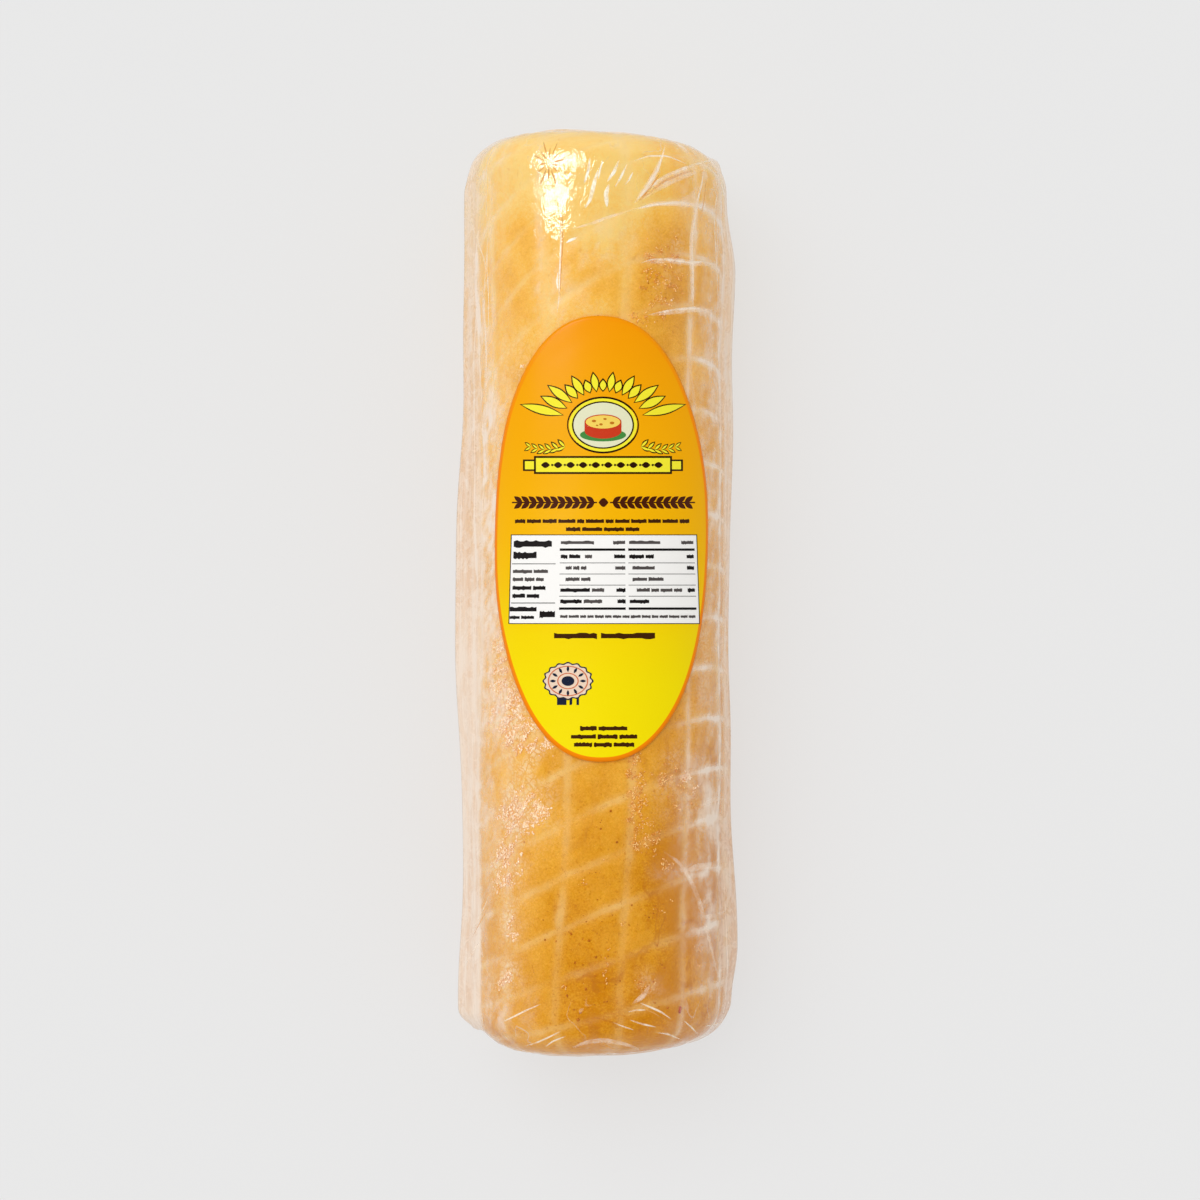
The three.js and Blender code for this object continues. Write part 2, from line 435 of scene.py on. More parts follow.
def bump(height, distance, strength):
    """The surface facing as a low relief of that height turns it."""
    return add(height.tree, "Bump", {"Height": height, "Distance": distance, "Strength": strength})


def surface(tree, colour, roughness, gloss, **more):
    """A plain surface: its colour, its roughness, and how much it mirrors."""
    return add(tree, "BsdfPrincipled", {"Base Color": colour, "Roughness": roughness, "IOR": 1.45,
                                        "Specular IOR Level": gloss,
                                        **{key.replace("_", " "): value for key, value in more.items()}})


def mixed(share, one, other):
    """One surface at share 0, the other at 1, and both between."""
    return add(share.tree, "MixShader", {0: share, 1: one, 2: other})


def close(shader):
    """Makes the shader the material's surface."""
    add(shader.tree, "OutputMaterial", {"Surface": shader})


def linear(red, green, blue):
    """Linear light of a colour given in 255ths of the usual display code, fully opaque."""
    code = np.array([red, green, blue]) / 255
    light = np.where(code <= 0.04045, code / 12.92, ((code + 0.055) / 1.055) ** 2.4)
    return (*light.tolist(), 1)


# ---------------------------------------------------------------- camera and light

def put(data, place=(0, 0, 0), beam_from=None):
    """Puts a camera or a light at a place in millimetres, with its beam coming from a direction."""
    holder = bpy.data.objects.new(data.name, data)
    holder.location = [value * MM for value in place]
    if beam_from:
        holder.rotation_euler = Vector(beam_from).to_track_quat("Z", "Y").to_euler()
    bpy.context.scene.collection.objects.link(holder)
    return holder


def set_camera():
    """A camera that looks straight down, with the picture's scale at the log's axis."""
    lens = bpy.data.cameras.new("camera")
    lens.sensor_width = SENSOR
    lens.lens = FOCAL_PIXELS / PICTURE_SIZE * SENSOR
    lens.clip_end = 20
    bpy.context.scene.camera = put(lens, CAMERA)


SUN_FROM = (-0.32, 0.34, 0.88)
SUN_STRENGTH = 1.15
SUN_WIDTH = 52
AMBIENT = 0.66
GLOSS_HORIZON = (0.1, 0.75)
SOFTBOX_CENTRE = (-1020, 950, 1215)
SOFTBOX_SIZE = (1200, 990)
SOFTBOX_POWER = 72
FLOOR_GLOW = 0.60
FLOOR_SHADE = 0.216
FLOOR_SIZE = 8000
FLOOR_Z = -0.25


def set_light():
    """A wide sun from the top left, a softbox that shows only in gloss, and an even pale room, which
    is dark overhead to glossy rays, as a studio's ceiling is."""
    scene = bpy.context.scene
    scene.view_settings.view_transform = "Standard"
    sun = bpy.data.lights.new("window_light", "SUN")
    sun.energy = SUN_STRENGTH
    sun.angle = np.deg2rad(SUN_WIDTH)
    put(sun, beam_from=SUN_FROM).visible_glossy = False
    box = bpy.data.lights.new("softbox", "AREA")
    box.shape = "RECTANGLE"
    box.size, box.size_y = [side * MM for side in SOFTBOX_SIZE]
    box.energy = SOFTBOX_POWER
    softbox = put(box, SOFTBOX_CENTRE, (SOFTBOX_CENTRE[0], 0, SOFTBOX_CENTRE[2]))
    softbox.visible_diffuse = False
    softbox.visible_camera = False
    scene.world = bpy.data.worlds.new("room")
    scene.world.use_nodes = True
    tree = scene.world.node_tree
    tree.nodes.clear()
    height = add(tree, "SeparateXYZ", {0: add(tree, "TexCoord", None, "Generated")}, 2)
    dark = steps(height, *GLOSS_HORIZON) * add(tree, "LightPath", None, "Is Glossy Ray")
    room = add(tree, "Background", {"Color": (1, 1, 1, 1), "Strength": (1 - dark) * AMBIENT})
    add(tree, "OutputWorld", {"Surface": room})


def make_floor():
    """A pale glowing sheet just under the log, which the camera sees as the background."""
    half = FLOOR_SIZE / 2 * MM
    mesh = bpy.data.meshes.new("floor")
    corners = [(x * half, y * half, FLOOR_Z * MM) for x, y in ((-1, -1), (1, -1), (1, 1), (-1, 1))]
    mesh.from_pydata(corners, [], [(0, 1, 2, 3)])
    floor = bpy.data.objects.new("floor", mesh)
    bpy.context.scene.collection.objects.link(floor)
    material, tree = new_finish("pale_floor")
    paper = add(tree, "BsdfDiffuse", {"Color": (FLOOR_SHADE, FLOOR_SHADE, FLOOR_SHADE, 1)})
    glow = add(tree, "Emission", {"Color": (1, 1, 1, 1), "Strength": FLOOR_GLOW})
    close(add(tree, "AddShader", {0: paper, 1: glow}))
    mesh.materials.append(material)


# ---------------------------------------------------------------- the cheese and the bag

UPPER_TURNS = np.arange(-100, 101, 1.0)
LOWER_TURNS = np.arange(102, 259, 2.0)
RUN_SPANS = ((-POLE_RUN + 1.2, -150, 54), (-150, 118, 198), (118, POLE_RUN - 1.2, 88))


def log_grid():
    """Runs and turns of a grid over the whole skin, finer on its upper half and at its far end."""
    runs = np.concatenate([np.linspace(start, end, count, endpoint=last)
                           for (start, end, count), last in zip(RUN_SPANS, (False, False, True))])
    turns = np.concatenate([UPPER_TURNS, LOWER_TURNS])
    return np.meshgrid(runs, turns, indexing="ij")


def blobs(run, turn, places):
    """The soft round spots, laid on the half of the skin that shows from above."""
    return spots(*on_picture(skin(run, turn)), places) * smooth(cosine(turn), -0.1, 0.15)


def poles(standoff):
    """The middles of both end faces, where the skin's tube closes, at that standoff."""
    return [skin(np.array([end * POLE_RUN]), np.array([0.0]), standoff) for end in (-1, 1)]


# Deeper amber and paler places of the cheese, by pixel, radii across and down, and strength
AMBER_PATCHES = ((652, 292, 28, 46, 0.26), (505, 240, 30, 70, 0.12), (684, 920, 24, 60, 0.06),
                 (672, 240, 28, 22, 0.15), (590, 985, 30, 45, 0.22), (650, 880, 30, 36, 0.12),
                 (600, 800, 24, 40, 0.08), (668, 855, 24, 30, 0.12), (560, 240, 12, 30, 0.05),
                 (640, 1010, 40, 20, 0.1))
# The paler places are partly painted light: at the far end near the bright spot, and at the lower right
# corner.
PALE_AND_LIT_PATCHES = ((590, 160, 60, 24, 0.12), (560, 175, 40, 40, 0.08), (612, 232, 26, 26, 0.12),
                (520, 720, 30, 60, 0.10), (585, 335, 60, 24, 0.10), (650, 1010, 40, 16, 0.05),
                (702, 1000, 28, 44, 0.30))
# Where pale frost lies under the film
FROST_PATCHES = ((505, 700, 34, 44, 1.0), (528, 745, 22, 30, 0.8), (522, 812, 28, 30, 1.0),
                 (503, 862, 20, 36, 0.9), (510, 925, 13, 20, 0.8), (503, 978, 16, 18, 0.9),
                 (518, 395, 16, 60, 0.45), (490, 470, 18, 110, 0.55), (497, 610, 16, 80, 0.7),
                 (700, 470, 12, 110, 0.45), (702, 650, 13, 90, 0.5), (684, 785, 24, 34, 0.6),
                 (646, 985, 16, 14, 0.25), (668, 255, 26, 40, 0.3))
# How deep the amber is along the log, by place along Y, and its slow waves' heights, sizes and seeds
# These stations hold painted light as well as the cheese's own deeper tone towards its near end: paler at the
# far end, towards the light.
AMBER_AND_LIGHT_ALONG = ((-172, 0.85), (-130, 0.76), (-70, 0.60), (0, 0.46), (60, 0.36), (110, 0.26),
               (150, 0.06), (172, -0.06))
AMBER_WAVES = ((0.050, 38, 15), (0.035, 13, 16), (0.02, 5, 18))
# Painted shade deepening the amber on the +X flank, away from the light, and painted light paling it low on
# the -X flank, towards it
FLANK_PAINTED_SHADE = 0.26
FLANK_PAINTED_LIGHT = 0.12


def amber_and_light_depth(y, turn, even, run):
    """How deep the cheese's amber is: stations along the log, deeper on the +X flank by painted shade and
    paler on the other one by painted light, with patches and with slow waves of three sizes."""
    # The first term is painted shade on the +X side, away from the light; the second is painted light low on
    # the -X side, towards it.
    flank = FLANK_PAINTED_SHADE * smooth(turn, 8, 42) * (turn < 180) * smooth(cosine(turn), -0.3, 0.2)
    lit_flank = FLANK_PAINTED_LIGHT * smooth(-sine(turn), 0.15, 0.6) * smooth(-y, -10, 90)
    depth = between(y, AMBER_AND_LIGHT_ALONG) + flank - lit_flank
    depth += blobs(run, turn, AMBER_PATCHES) - blobs(run, turn, PALE_AND_LIT_PATCHES)
    return depth + layered(even, AMBER_WAVES)


# How deep the net's grooves and the film's gathers press into the cheese, how far from a line of the
# net its painted share reaches, and the fine lumps' heights, lengths and seeds
GROOVE_DEPTH = 0.34
GATHER_DEPTH = 0.9
NET_REACH = 5
LUMPS = ((0.07, 15, 13), (0.035, 5, 14))


def make_cheese():
    """The cheese: the log's skin a little inside the bag, with a soft groove under each line of the
    net, fine lumps, and painted shares for its pale net lines, its amber depth, which holds painted
    light and shade too, and its frost. A net line's place goes to the finish as a distance, which stays
    sharp between the mesh's points."""
    run, turn = log_grid()
    _, y, outward, _ = outline(run)
    even = skin(run, turn)
    string, hoop = net_distances(run, turn)
    face = end_face(run)
    groove = GROOVE_DEPTH * net_bells(string, hoop, face)
    gather = GATHER_DEPTH * face * (1 - smooth(np.abs(run), POLE_RUN - 6, POLE_RUN)) * bell(string, 3)
    lumps = layered(even, LUMPS) * unevenness(turn)
    standoff = CHEESE_INSET + outward * swell(y, turn) - groove - gather + lumps
    rings = skin(run, turn, standoff, CHEESE_FLOOR)
    string_share = bell(string, NET_REACH) * np.clip(0.62 + 0.42 * waves(even, 40, 11), 0.15, 1)
    hoop_share = bell(hoop, NET_REACH) * (1 - face) * np.clip(0.55 + 0.5 * waves(even, 34, 12), 0.1, 1)
    frost = blobs(run, turn, FROST_PATCHES) * (0.8 + 0.5 * waves(even, 11, 17))
    # The amber share holds painted light and shade as well as the cheese's own tone.
    shares = {"string_past": string, "hoop_past": hoop, "string_share": string_share,
              "hoop_share": hoop_share, "amber": np.clip(amber_and_light_depth(y, turn, even, run), 0, 1.1),
              "frost": np.clip(frost, 0, 1)}
    cheese = tube_piece("cheese", rings, poles(CHEESE_INSET), shares)
    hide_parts("sealed_log")
    cheese.data.materials.append(cheese_finish())


def net_wander(place):
    """How far the net's marks wander off their even lines, in millimetres."""
    return (noise(place, 130, 4, 0.65) - 0.5) * 3.2


def net_line(past, share, wander, width):
    """A pale band: a faint core within its half width and a soft skirt beyond, by the distance from
    its middle, which wanders a little."""
    away = abs(attribute(wander.tree, past) + wander)
    core = (1 - steps(away, width * 0.5, width)) * 0.4
    skirt = (1 - steps(away, width * 0.2, width * 2.4)) * 0.6
    return (core + skirt) * attribute(wander.tree, share)


def net_lines(place, string_width, hoop_width):
    """The marks of the net's strings and hoops, whichever shows more."""
    wander = net_wander(place)
    return larger(net_line("string_past", "string_share", wander, string_width),
                  net_line("hoop_past", "hoop_share", wander, hoop_width))


AMBER_STOPS = ((0, (255, 213, 122)), (0.3, (254, 190, 72)), (0.6, (236, 166, 44)), (0.8, (226, 153, 26)),
               (1, (211, 133, 6)))


def cheese_finish():
    """Waxy amber: paler to deeper by the amber share, which holds painted light and shade too, pale in
    the net's marks, mottled at three sizes, with lacy frost by its share, and pores, pricks and veins
    that are browner."""
    material, tree = new_finish("smoked_cheese")
    place = object_place(tree)
    mottle = noise(place, 95, 5, 0.6)
    fine = noise(place, 620, 3, 0.6)
    grain = noise(place, 1400, 3, 0.65)
    # This share brings painted light and shade into the ramp's colour.
    amber = attribute(tree, "amber")
    shift = (mottle - 0.5) * 0.36 + (fine - 0.5) * 0.30 + (grain - 0.5) * (0.32 + amber * 0.6)
    body = ramp(amber + shift, [(share, linear(*colour)) for share, colour in AMBER_STOPS])
    worn = steps(noise(place, 55, 3, 0.6), 0.3, 0.7)
    line = net_lines(place, 2.0, 1.6) * (0.3 + worn * 0.7) * (0.66 - amber * 0.26)
    body = blend(line, body, linear(255, 220, 146))
    speckled = steps(noise(place, 480, 4, 0.75, 0.4), 0.34, 0.60)
    frost = attribute(tree, "frost") * (0.3 + speckled * 0.7)
    shake = add(tree, "VectorMath", {0: noise(place, 260, 2, 0.5, 0, "Color"), 1: (0.006, 0.006, 0.006)},
                operation="MULTIPLY")
    shaken = add(tree, "VectorMath", {0: place, 1: shake}, operation="ADD")
    cells = add(tree, "TexVoronoi", {"Vector": shaken, "Scale": 420}, "Distance", feature="DISTANCE_TO_EDGE")
    lace = blend(steps(cells, 0.02, 0.16), linear(232, 168, 96), linear(255, 230, 190))
    body = blend(frost * 0.68, body, lace)
    pores = steps(noise(place, 300, 2, 0.5, 0.8), 0.68, 0.76)
    body = blend(pores * 0.22, body, linear(204, 122, 16))
    pricks = steps(noise(place, 760, 2, 0.6), 0.60, 0.70) * (steps(amber, 0.3, 0.9) * 0.55)
    body = blend(pricks, body, linear(196, 112, 12))
    veins = fold_lines(tree, 70, (1, 0.7, 1), 0.035) * steps(amber, 0.5, 0.95)
    body = blend(veins * 0.45, body, linear(190, 108, 20))
    height = mottle * 0.5 + fine * 0.3 + grain * frost * 0.9
    close(surface(tree, body, 0.3, 0.08, IOR=1.4, Normal=bump(height, 0.0004, 0.5), Subsurface_Weight=0.1,
                  Subsurface_Radius=(0.004, 0.002, 0.0006), Subsurface_Scale=0.5))
    return material


# Slanted creases beside the bright spot: pixel, radii across and down, spacing and depth
WRINKLE_FAN = (606, 176, 26, 20, 8.8, 0.12)
# Fine crumples round the bright spot: pixel, radii across and down, size of the crumples and depth
CRUMPLES = (566, 172, 32, 38, 2.2, 0.046)
# Where the film is crushed most finely: pixel, radii across and down, and share
CRUSHED_PATCHES = ((584, 174, 40, 30, 0.8), (552, 154, 26, 16, 0.8), (578, 150, 16, 14, 0.5),
                   (566, 215, 22, 30, 0.6))
# Where the film spans from cell to cell and lies in one even slope: pixel across, reach, how much the
# slope's stations shift for each millimetre to the side, and the stations along the log
SPAN_MIDDLE = 557
SPAN_REACH = 18
SPAN_TAPER = 1.8
SPAN_STATIONS = ((80, 0), (120, 0.1), (158, -0.62), (172, 0.15))


def film_wrinkles(turn, even):
    """Slanted fine creases of the film, a wave across them, and fine crumples, both faded out round
    their places."""
    across, down = on_picture(even)
    top = smooth(cosine(turn), 0.1, 0.4)
    *fan, spacing, depth = WRINKLE_FAN
    along = (across - fan[0]) + 0.42 * (down - fan[1])
    slanted = depth * np.sin(2 * np.pi * along / spacing) * (spots(across, down, [(*fan, 1)]) * top)
    *patch, size, depth = CRUMPLES
    fine = waves(even * np.array([1, 0.5, 1]), size, 26)
    return slanted + depth * fine * (spots(across, down, [(*patch, 1)]) * top)


def film_span(run, turn, even):
    """Where the film lies in an even slope near its far end, and how much that lifts it: from the
    swell to the slope's height, whose stations shift towards the end off the middle."""
    across, down = on_picture(even)
    y = outline(run)[1]
    share = bell(across - SPAN_MIDDLE, SPAN_REACH) * smooth(-down, -350, -300) * (cosine(turn) > 0)
    aside = np.abs(across - SPAN_MIDDLE) / PIXELS_PER_MM * smooth(-y, -158, -140)
    return share, (between(y - SPAN_TAPER * aside, SPAN_STATIONS) - swell(y, turn)) * share


# How deep the film sags into the net's grooves, its lengthwise ripples' heights, lengths and seeds, and
# its pleats towards the middle of each end
FILM_SAG = 0.12
RIPPLES = ((0.20, 9, 21), (0.05, 3.4, 22))
PLEAT_DEPTH = 0.4
PLEAT_PACE = 34


def film_standoff(run, turn):
    """The bag's standoff: swell and fins, lying a little way into the net's grooves, rippled
    lengthwise where it stands off, evened out over its span and lightly creased. It is tight where
    it stands off by nothing, and its ripples fade towards the ridge of a fin."""
    _, y, outward, _ = outline(run)
    even = skin(run, turn)
    off = fin(run, turn)
    contact = 1 - smooth(off, 0, 0.5)
    string, hoop = net_distances(run, turn)
    span, lift = film_span(run, turn, even)
    face = smooth(np.abs(run), FACE_START_RUN - 4, POLE_RUN - 8)
    sag = FILM_SAG * net_bells(string, hoop, face) * contact * (1 - span)
    ripple = layered(even * np.array([1, 1 / 14, 1]), RIPPLES)
    ripple *= smooth(off, 0.05, 1.6) * (1 - smooth(off / ridge(run, turn), 0.45, 0.9))
    loose = 0.035 * waves(even * np.array([1, 0.45, 1]), 9, 23) * contact
    rough = (ripple + loose) * unevenness(turn) + film_wrinkles(turn, even)
    return outward * swell(y, turn) + off + lift - sag + rough


def make_film():
    """The bag: the log's skin at the film's standoff, pleated towards the middle of each end."""
    run, turn = log_grid()
    even = skin(run, turn)
    standing = smooth(fin(run, turn), 0.02, 0.7)
    string, hoop = net_distances(run, turn)
    pleats = PLEAT_DEPTH * smooth(np.abs(run), FACE_START_RUN - 12, FACE_START_RUN + 14)
    pleats = pleats * (1 - smooth(np.abs(run), POLE_RUN - 9, POLE_RUN - 1.5))
    pleats = pleats * np.sin(np.deg2rad(turn) * PLEAT_PACE + 2.4 * waves(even, 60, 24))
    rings = skin(run, turn, film_standoff(run, turn) + pleats)
    marks = net_milk(turn, standing) * np.clip(0.8 + 0.5 * waves(even, 12, 34), 0.1, 1.4)
    shares = {"milk": film_milk(run, turn, standing, even, string, hoop),
              "creased": smooth(np.abs(sine(turn)), 0.6, 0.85),
              "crumpled": smooth(np.abs(outline(run)[1]), 140, 168),
              "crushed": np.clip(blobs(run, turn, CRUSHED_PATCHES), 0, 1),
              "string_past": string, "hoop_past": hoop, "string_share": bell(string, NET_REACH) * marks,
              "hoop_share": bell(hoop, NET_REACH) * (1 - end_face(run)) * marks}
    film = tube_piece("film", rings, poles(fin(np.array([POLE_RUN]), np.array([0.0]))), shares)
    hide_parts("sealed_log")
    as_film(film)
    film.data.materials.append(film_finish())


# Where the film is hazy, by pixel, radii across and down, and strength
HAZE_PATCHES = ((489, 500, 17, 130, 0.58), (489, 690, 17, 120, 0.28), (716, 560, 14, 170, 0.18),
                (708, 470, 20, 70, 0.14), (700, 800, 24, 46, 0.26), (690, 872, 28, 9, 0.30),
                (706, 925, 8, 50, 0.20), (712, 830, 9, 100, 0.14),
                (470, 940, 14, 70, 0.2), (600, 1046, 22, 7, 0.15), (515, 1010, 26, 22, 0.08),
                (620, 236, 30, 24, 0.08), (575, 310, 30, 26, 0.08), (704, 190, 16, 34, 0.22),
                (505, 705, 24, 36, 0.08), (528, 742, 20, 18, 0.04), (522, 812, 24, 24, 0.09),
                (504, 864, 16, 30, 0.10), (508, 925, 12, 18, 0.08), (503, 978, 13, 15, 0.14),
                (500, 1020, 30, 22, 0.08), (648, 985, 16, 14, 0.06), (690, 1030, 30, 12, 0.04),
                (716, 300, 12, 90, 0.24), (480, 190, 14, 40, 0.08), (704, 890, 10, 60, 0.16),
                (690, 185, 16, 26, 0.12), (592, 250, 14, 20, 0.20), (560, 290, 10, 30, 0.16),
                (538, 250, 5, 60, 0.16), (712, 400, 8, 40, 0.10), (485, 420, 8, 40, 0.10),
                (500, 1012, 16, 12, 0.14), (515, 712, 14, 16, 0.08), (690, 1050, 40, 5, 0.12))
HAZE_FLANK = (0.62, 1.0)
STANDING_MILK = {"left": (0.58, 0.84), "right": (0.68, 0.50)}


def net_milk(turn, standing):
    """How milky the film is over the net's marks: most on the right flank, none where it stands off."""
    flank = smooth(np.abs(sine(turn)), *HAZE_FLANK)
    return (0.02 + 0.36 * smooth(sine(turn), 0.5, 0.85) + 0.14 * flank) * (1 - standing)


def film_milk(run, turn, standing, even, string, hoop):
    """How milky the film is: clear where it is tight on top, hazier down the flanks and in patches,
    along the net's marks there, and whitish with streaks where it stands off, more so at the near
    end."""
    streaks = 0.5 * waves(even * np.array([1, 1 / 16, 1]), 5, 31)
    flank = smooth(np.abs(sine(turn)), *HAZE_FLANK)
    cloud = 0.75 + 0.40 * waves(even * np.array([1, 0.6, 1]), 16, 32) + 0.35 * waves(even, 5, 33)
    net = np.maximum(bell(string, 2.0), bell(hoop, 2.2)) * net_milk(turn, standing) * 0.35
    milk = 0.008 + (0.14 * flank + blobs(run, turn, HAZE_PATCHES) + net) * np.clip(cloud, 0.1, 1.8)
    near = smooth(-even[..., 1], -90, 60)
    left, right = [mix(*ends, near) + 0.2 * streaks for ends in STANDING_MILK.values()]
    return np.clip(mix(milk, np.where(sine(turn) < 0, left, right), standing), 0, 0.94)


def fold_lines(tree, scale, stretch, width):
    """Thin wandering lines: where a slow noise passes its middle value, broken up by a second one."""
    place = object_place(tree, stretch)
    away = abs(noise(place, scale, 2, 0.4, 0.5) - 0.5)
    return (1 - steps(away, width * 0.3, width)) * steps(noise(place, scale * 0.7, 1, 0.5), 0.5, 0.6)


FILM_TONE = (247, 229, 211)


def film_shader(tree, crinkle, share):
    """Clear glossy film: see-through but for a mirror's share by Fresnel, mixed with a milky one."""
    clear = add(tree, "BsdfTransparent", {"Color": (0.995, 0.99, 0.985, 1)})
    gloss = add(tree, "BsdfGlossy", {"Color": (1, 1, 1, 1), "Roughness": 0.08, "Normal": crinkle})
    sheet = mixed(add(tree, "Fresnel", {"IOR": 1.5, "Normal": crinkle}), clear, gloss)
    return mixed(share, sheet, surface(tree, linear(*FILM_TONE), 0.3, 0.25))


def film_finish():
    """The bag's film: milky by its share with fine streaks and ragged patches, whitish along the net's
    marks, and whitish along its own folds, where the white is painted glints."""
    material, tree = new_finish("clear_bag")
    place, along = object_place(tree), object_place(tree, (1, 0.16, 1))
    long_folds = fold_lines(tree, 90, (1, 0.1, 1), 0.022) * attribute(tree, "creased")
    short_folds = fold_lines(tree, 90, (1, 0.8, 1), 0.012) * attribute(tree, "crumpled")
    folds = larger(long_folds, short_folds)
    crushed = noise(object_place(tree, (1, 0.5, 1)), 260, 3, 0.6, 0.8) * attribute(tree, "crushed")
    height = noise(along, 900, 2, 0.5) * 0.35 + folds * 0.3 + crushed * 8
    streak = steps(noise(along, 360, 3, 0.6, 0.3), 0.3, 0.75)
    milk = attribute(tree, "milk")
    ragged = steps(noise(place, 150, 5, 0.7, 0.6), 0.42, 0.58)
    share = milk * (0.84 + streak * 0.3) + (ragged - 0.5) * (milk * (1 - milk))
    # The whitening along the folds is painted glints on the film's fold lines.
    share = share + net_lines(place, 1.2, 1.0) + folds * 0.38
    close(film_shader(tree, bump(height, 0.0002, 0.5), share.math("MINIMUM", share, 0.95)))
    return material


def plain_film_finish(name, milk, tone, gloss):
    """Film of one milkiness, broken up along its length and clear at its edges, with a fine uneven
    surface."""
    material, tree = new_finish(name)
    place = object_place(tree)
    broken = steps(noise(place, 230, 3, 0.6), 0.36, 0.62)
    share = (0.35 + broken * 0.9) * milk * attribute(tree, "solid")
    clear = add(tree, "BsdfTransparent", {"Color": (1, 1, 1, 1)})
    uneven = bump(noise(place, 900, 2, 0.5), 0.0002, 0.5)
    close(mixed(share, clear, surface(tree, linear(*tone), 0.25, gloss, Normal=uneven)))
    return material


# ---------------------------------------------------------------- the label

LABEL_BORDER = 1.6
LABEL_GROOVE_DEPTH = 0.05


def label_edge(angle):
    """The label's edge seen from above, as shares of its half width and half length: the squared
    oval |x|^n + |y|^n = 1."""
    power = 2 / LABEL_ROUNDNESS
    across = np.sign(cosine(angle)) * np.abs(cosine(angle)) ** power
    along = np.sign(sine(angle)) * np.abs(sine(angle)) ** power
    return across, along


def label_relief(run, turn):
    """The label's own unevenness: the net's marks showing faintly through it."""
    string, hoop = net_distances(run, turn)
    return -LABEL_GROOVE_DEPTH * np.maximum(bell(string, 3), bell(hoop, 2.8))


def label_points(share, angle, lift):
    """Places of the label, by share from its middle to its edge and by angle, laid on the skin."""
    across, along = label_edge(angle)
    edge_turn = np.rad2deg(np.arcsin(across * LABEL_WIDTH / 2 / LOG_RADIUS))
    y = LABEL_CENTRE_Y - share * along * LABEL_LENGTH / 2
    turn = LABEL_CENTRE_TURN + share * edge_turn
    return skin(y, turn, swell(y, turn) + label_relief(y, turn) + lift)


def edge_distance(share, angle):
    """How far a place of the label is from its edge: the part of the way left, over the length of
    the slope of (x/a)^n + (y/b)^n at the edge."""
    across, along = np.abs(label_edge(angle))
    power = LABEL_ROUNDNESS - 1
    return (1 - share) / np.hypot(across ** power / (LABEL_WIDTH / 2), along ** power / (LABEL_LENGTH / 2))


def make_label():
    """The paper oval: a thin closed sheet over the bag, its top rings, then its underside's."""
    share, angle = np.meshgrid(np.linspace(0, 1, 61)[1:], np.arange(0, 360, 2.0), indexing="ij")
    top = label_points(share, angle, LABEL_TOP - 0.1 * smooth(share, 0.985, 1))
    under = label_points(share[::-1], angle[::-1], LABEL_UNDERSIDE)
    middle = np.array([0.0])
    ends = [label_points(middle, middle, lift) for lift in (LABEL_TOP, LABEL_UNDERSIDE)]
    border = np.concatenate([edge_distance(share, angle), np.zeros_like(share)])
    label = tube_piece("label_sheet", np.concatenate([top, under]), ends, {"edge": border})
    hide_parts("label")
    label.data.materials.append(label_finish())


# The label's green along it, from its far end to its near end. Its red and blue stay as they are.
LABEL_ENDS = (0.103, -0.062)
LABEL_GREENS = ((0, 156), (0.18, 171), (0.36, 180), (0.5, 188), (0.61, 201), (0.72, 221), (0.83, 229),
                (1, 231))


def label_finish():
    """Printed paper: orange at its far end to yellow at its near end, with an orange border."""
    material, tree = new_finish("label_print")
    place = object_place(tree)
    y = add(tree, "SeparateXYZ", {0: place}, 1)
    along = add(tree, "MapRange", {0: y, 1: LABEL_ENDS[0], 2: LABEL_ENDS[1]})
    ground = ramp(along, [(share, linear(250, green, 2)) for share, green in LABEL_GREENS])
    inside = steps(attribute(tree, "edge"), LABEL_BORDER - 0.12, LABEL_BORDER + 0.12)
    ground = blend((1 - inside) * steps(along, -0.1, 0.35), ground, linear(252, 138, 4))
    grain = noise(place, 1500, 3, 0.6)
    ground = blend(grain * 0.07, ground, linear(240, 120, 0))
    close(surface(tree, ground, 0.3, 0.06, Normal=bump(grain, 0.00008, 0.4)))
    return material


# ---------------------------------------------------------------- the label's print

def bars(boxes, across=2, down=1):
    """Filled rectangles, each from its left, top, right and bottom pixel, as grids of pixels."""
    left, top, right, bottom = np.asarray(boxes, float).T[:, :, None, None]
    share_x = np.linspace(0, 1, across + 1)[None, :, None]
    share_y = np.linspace(0, 1, down + 1)[None, None, :]
    return joined(mix(left, right, share_x), mix(top, bottom, share_y))


def ovals(centre, inner, outer, steps_round=48):
    """A ring: from the inner to the outer radii (across, down), all the way round."""
    angle = np.linspace(0, 360, steps_round + 1)[:, None]
    share = np.linspace(0, 1, 3)[None, :]
    x = centre[0] + mix(inner[0], outer[0], share) * cosine(angle)
    y = centre[1] - mix(inner[1], outer[1], share) * sine(angle)
    return joined(x, y)[None]


def leaves(places, steps_along=8):
    """Pointed ovals: along each one's heading, its half width is the sine of the share of the way."""
    x, y, heading, length, width = np.asarray(places, float).T[:, :, None, None]
    along = np.linspace(0, 1, steps_along + 1)[None, :, None]
    side = np.array([-1.0, 0, 1.0])[None, None, :]
    spread = side * width / 2 * np.sin(np.pi * np.clip(along, 0.002, 0.998))
    px = x + along * length * cosine(heading) - spread * sine(heading)
    py = y - along * length * sine(heading) - spread * cosine(heading)
    return joined(px, py)


def print_standoff(run, turn):
    """Where the print lies: the log's swell and the label's top."""
    return swell(run, turn) + LABEL_TOP


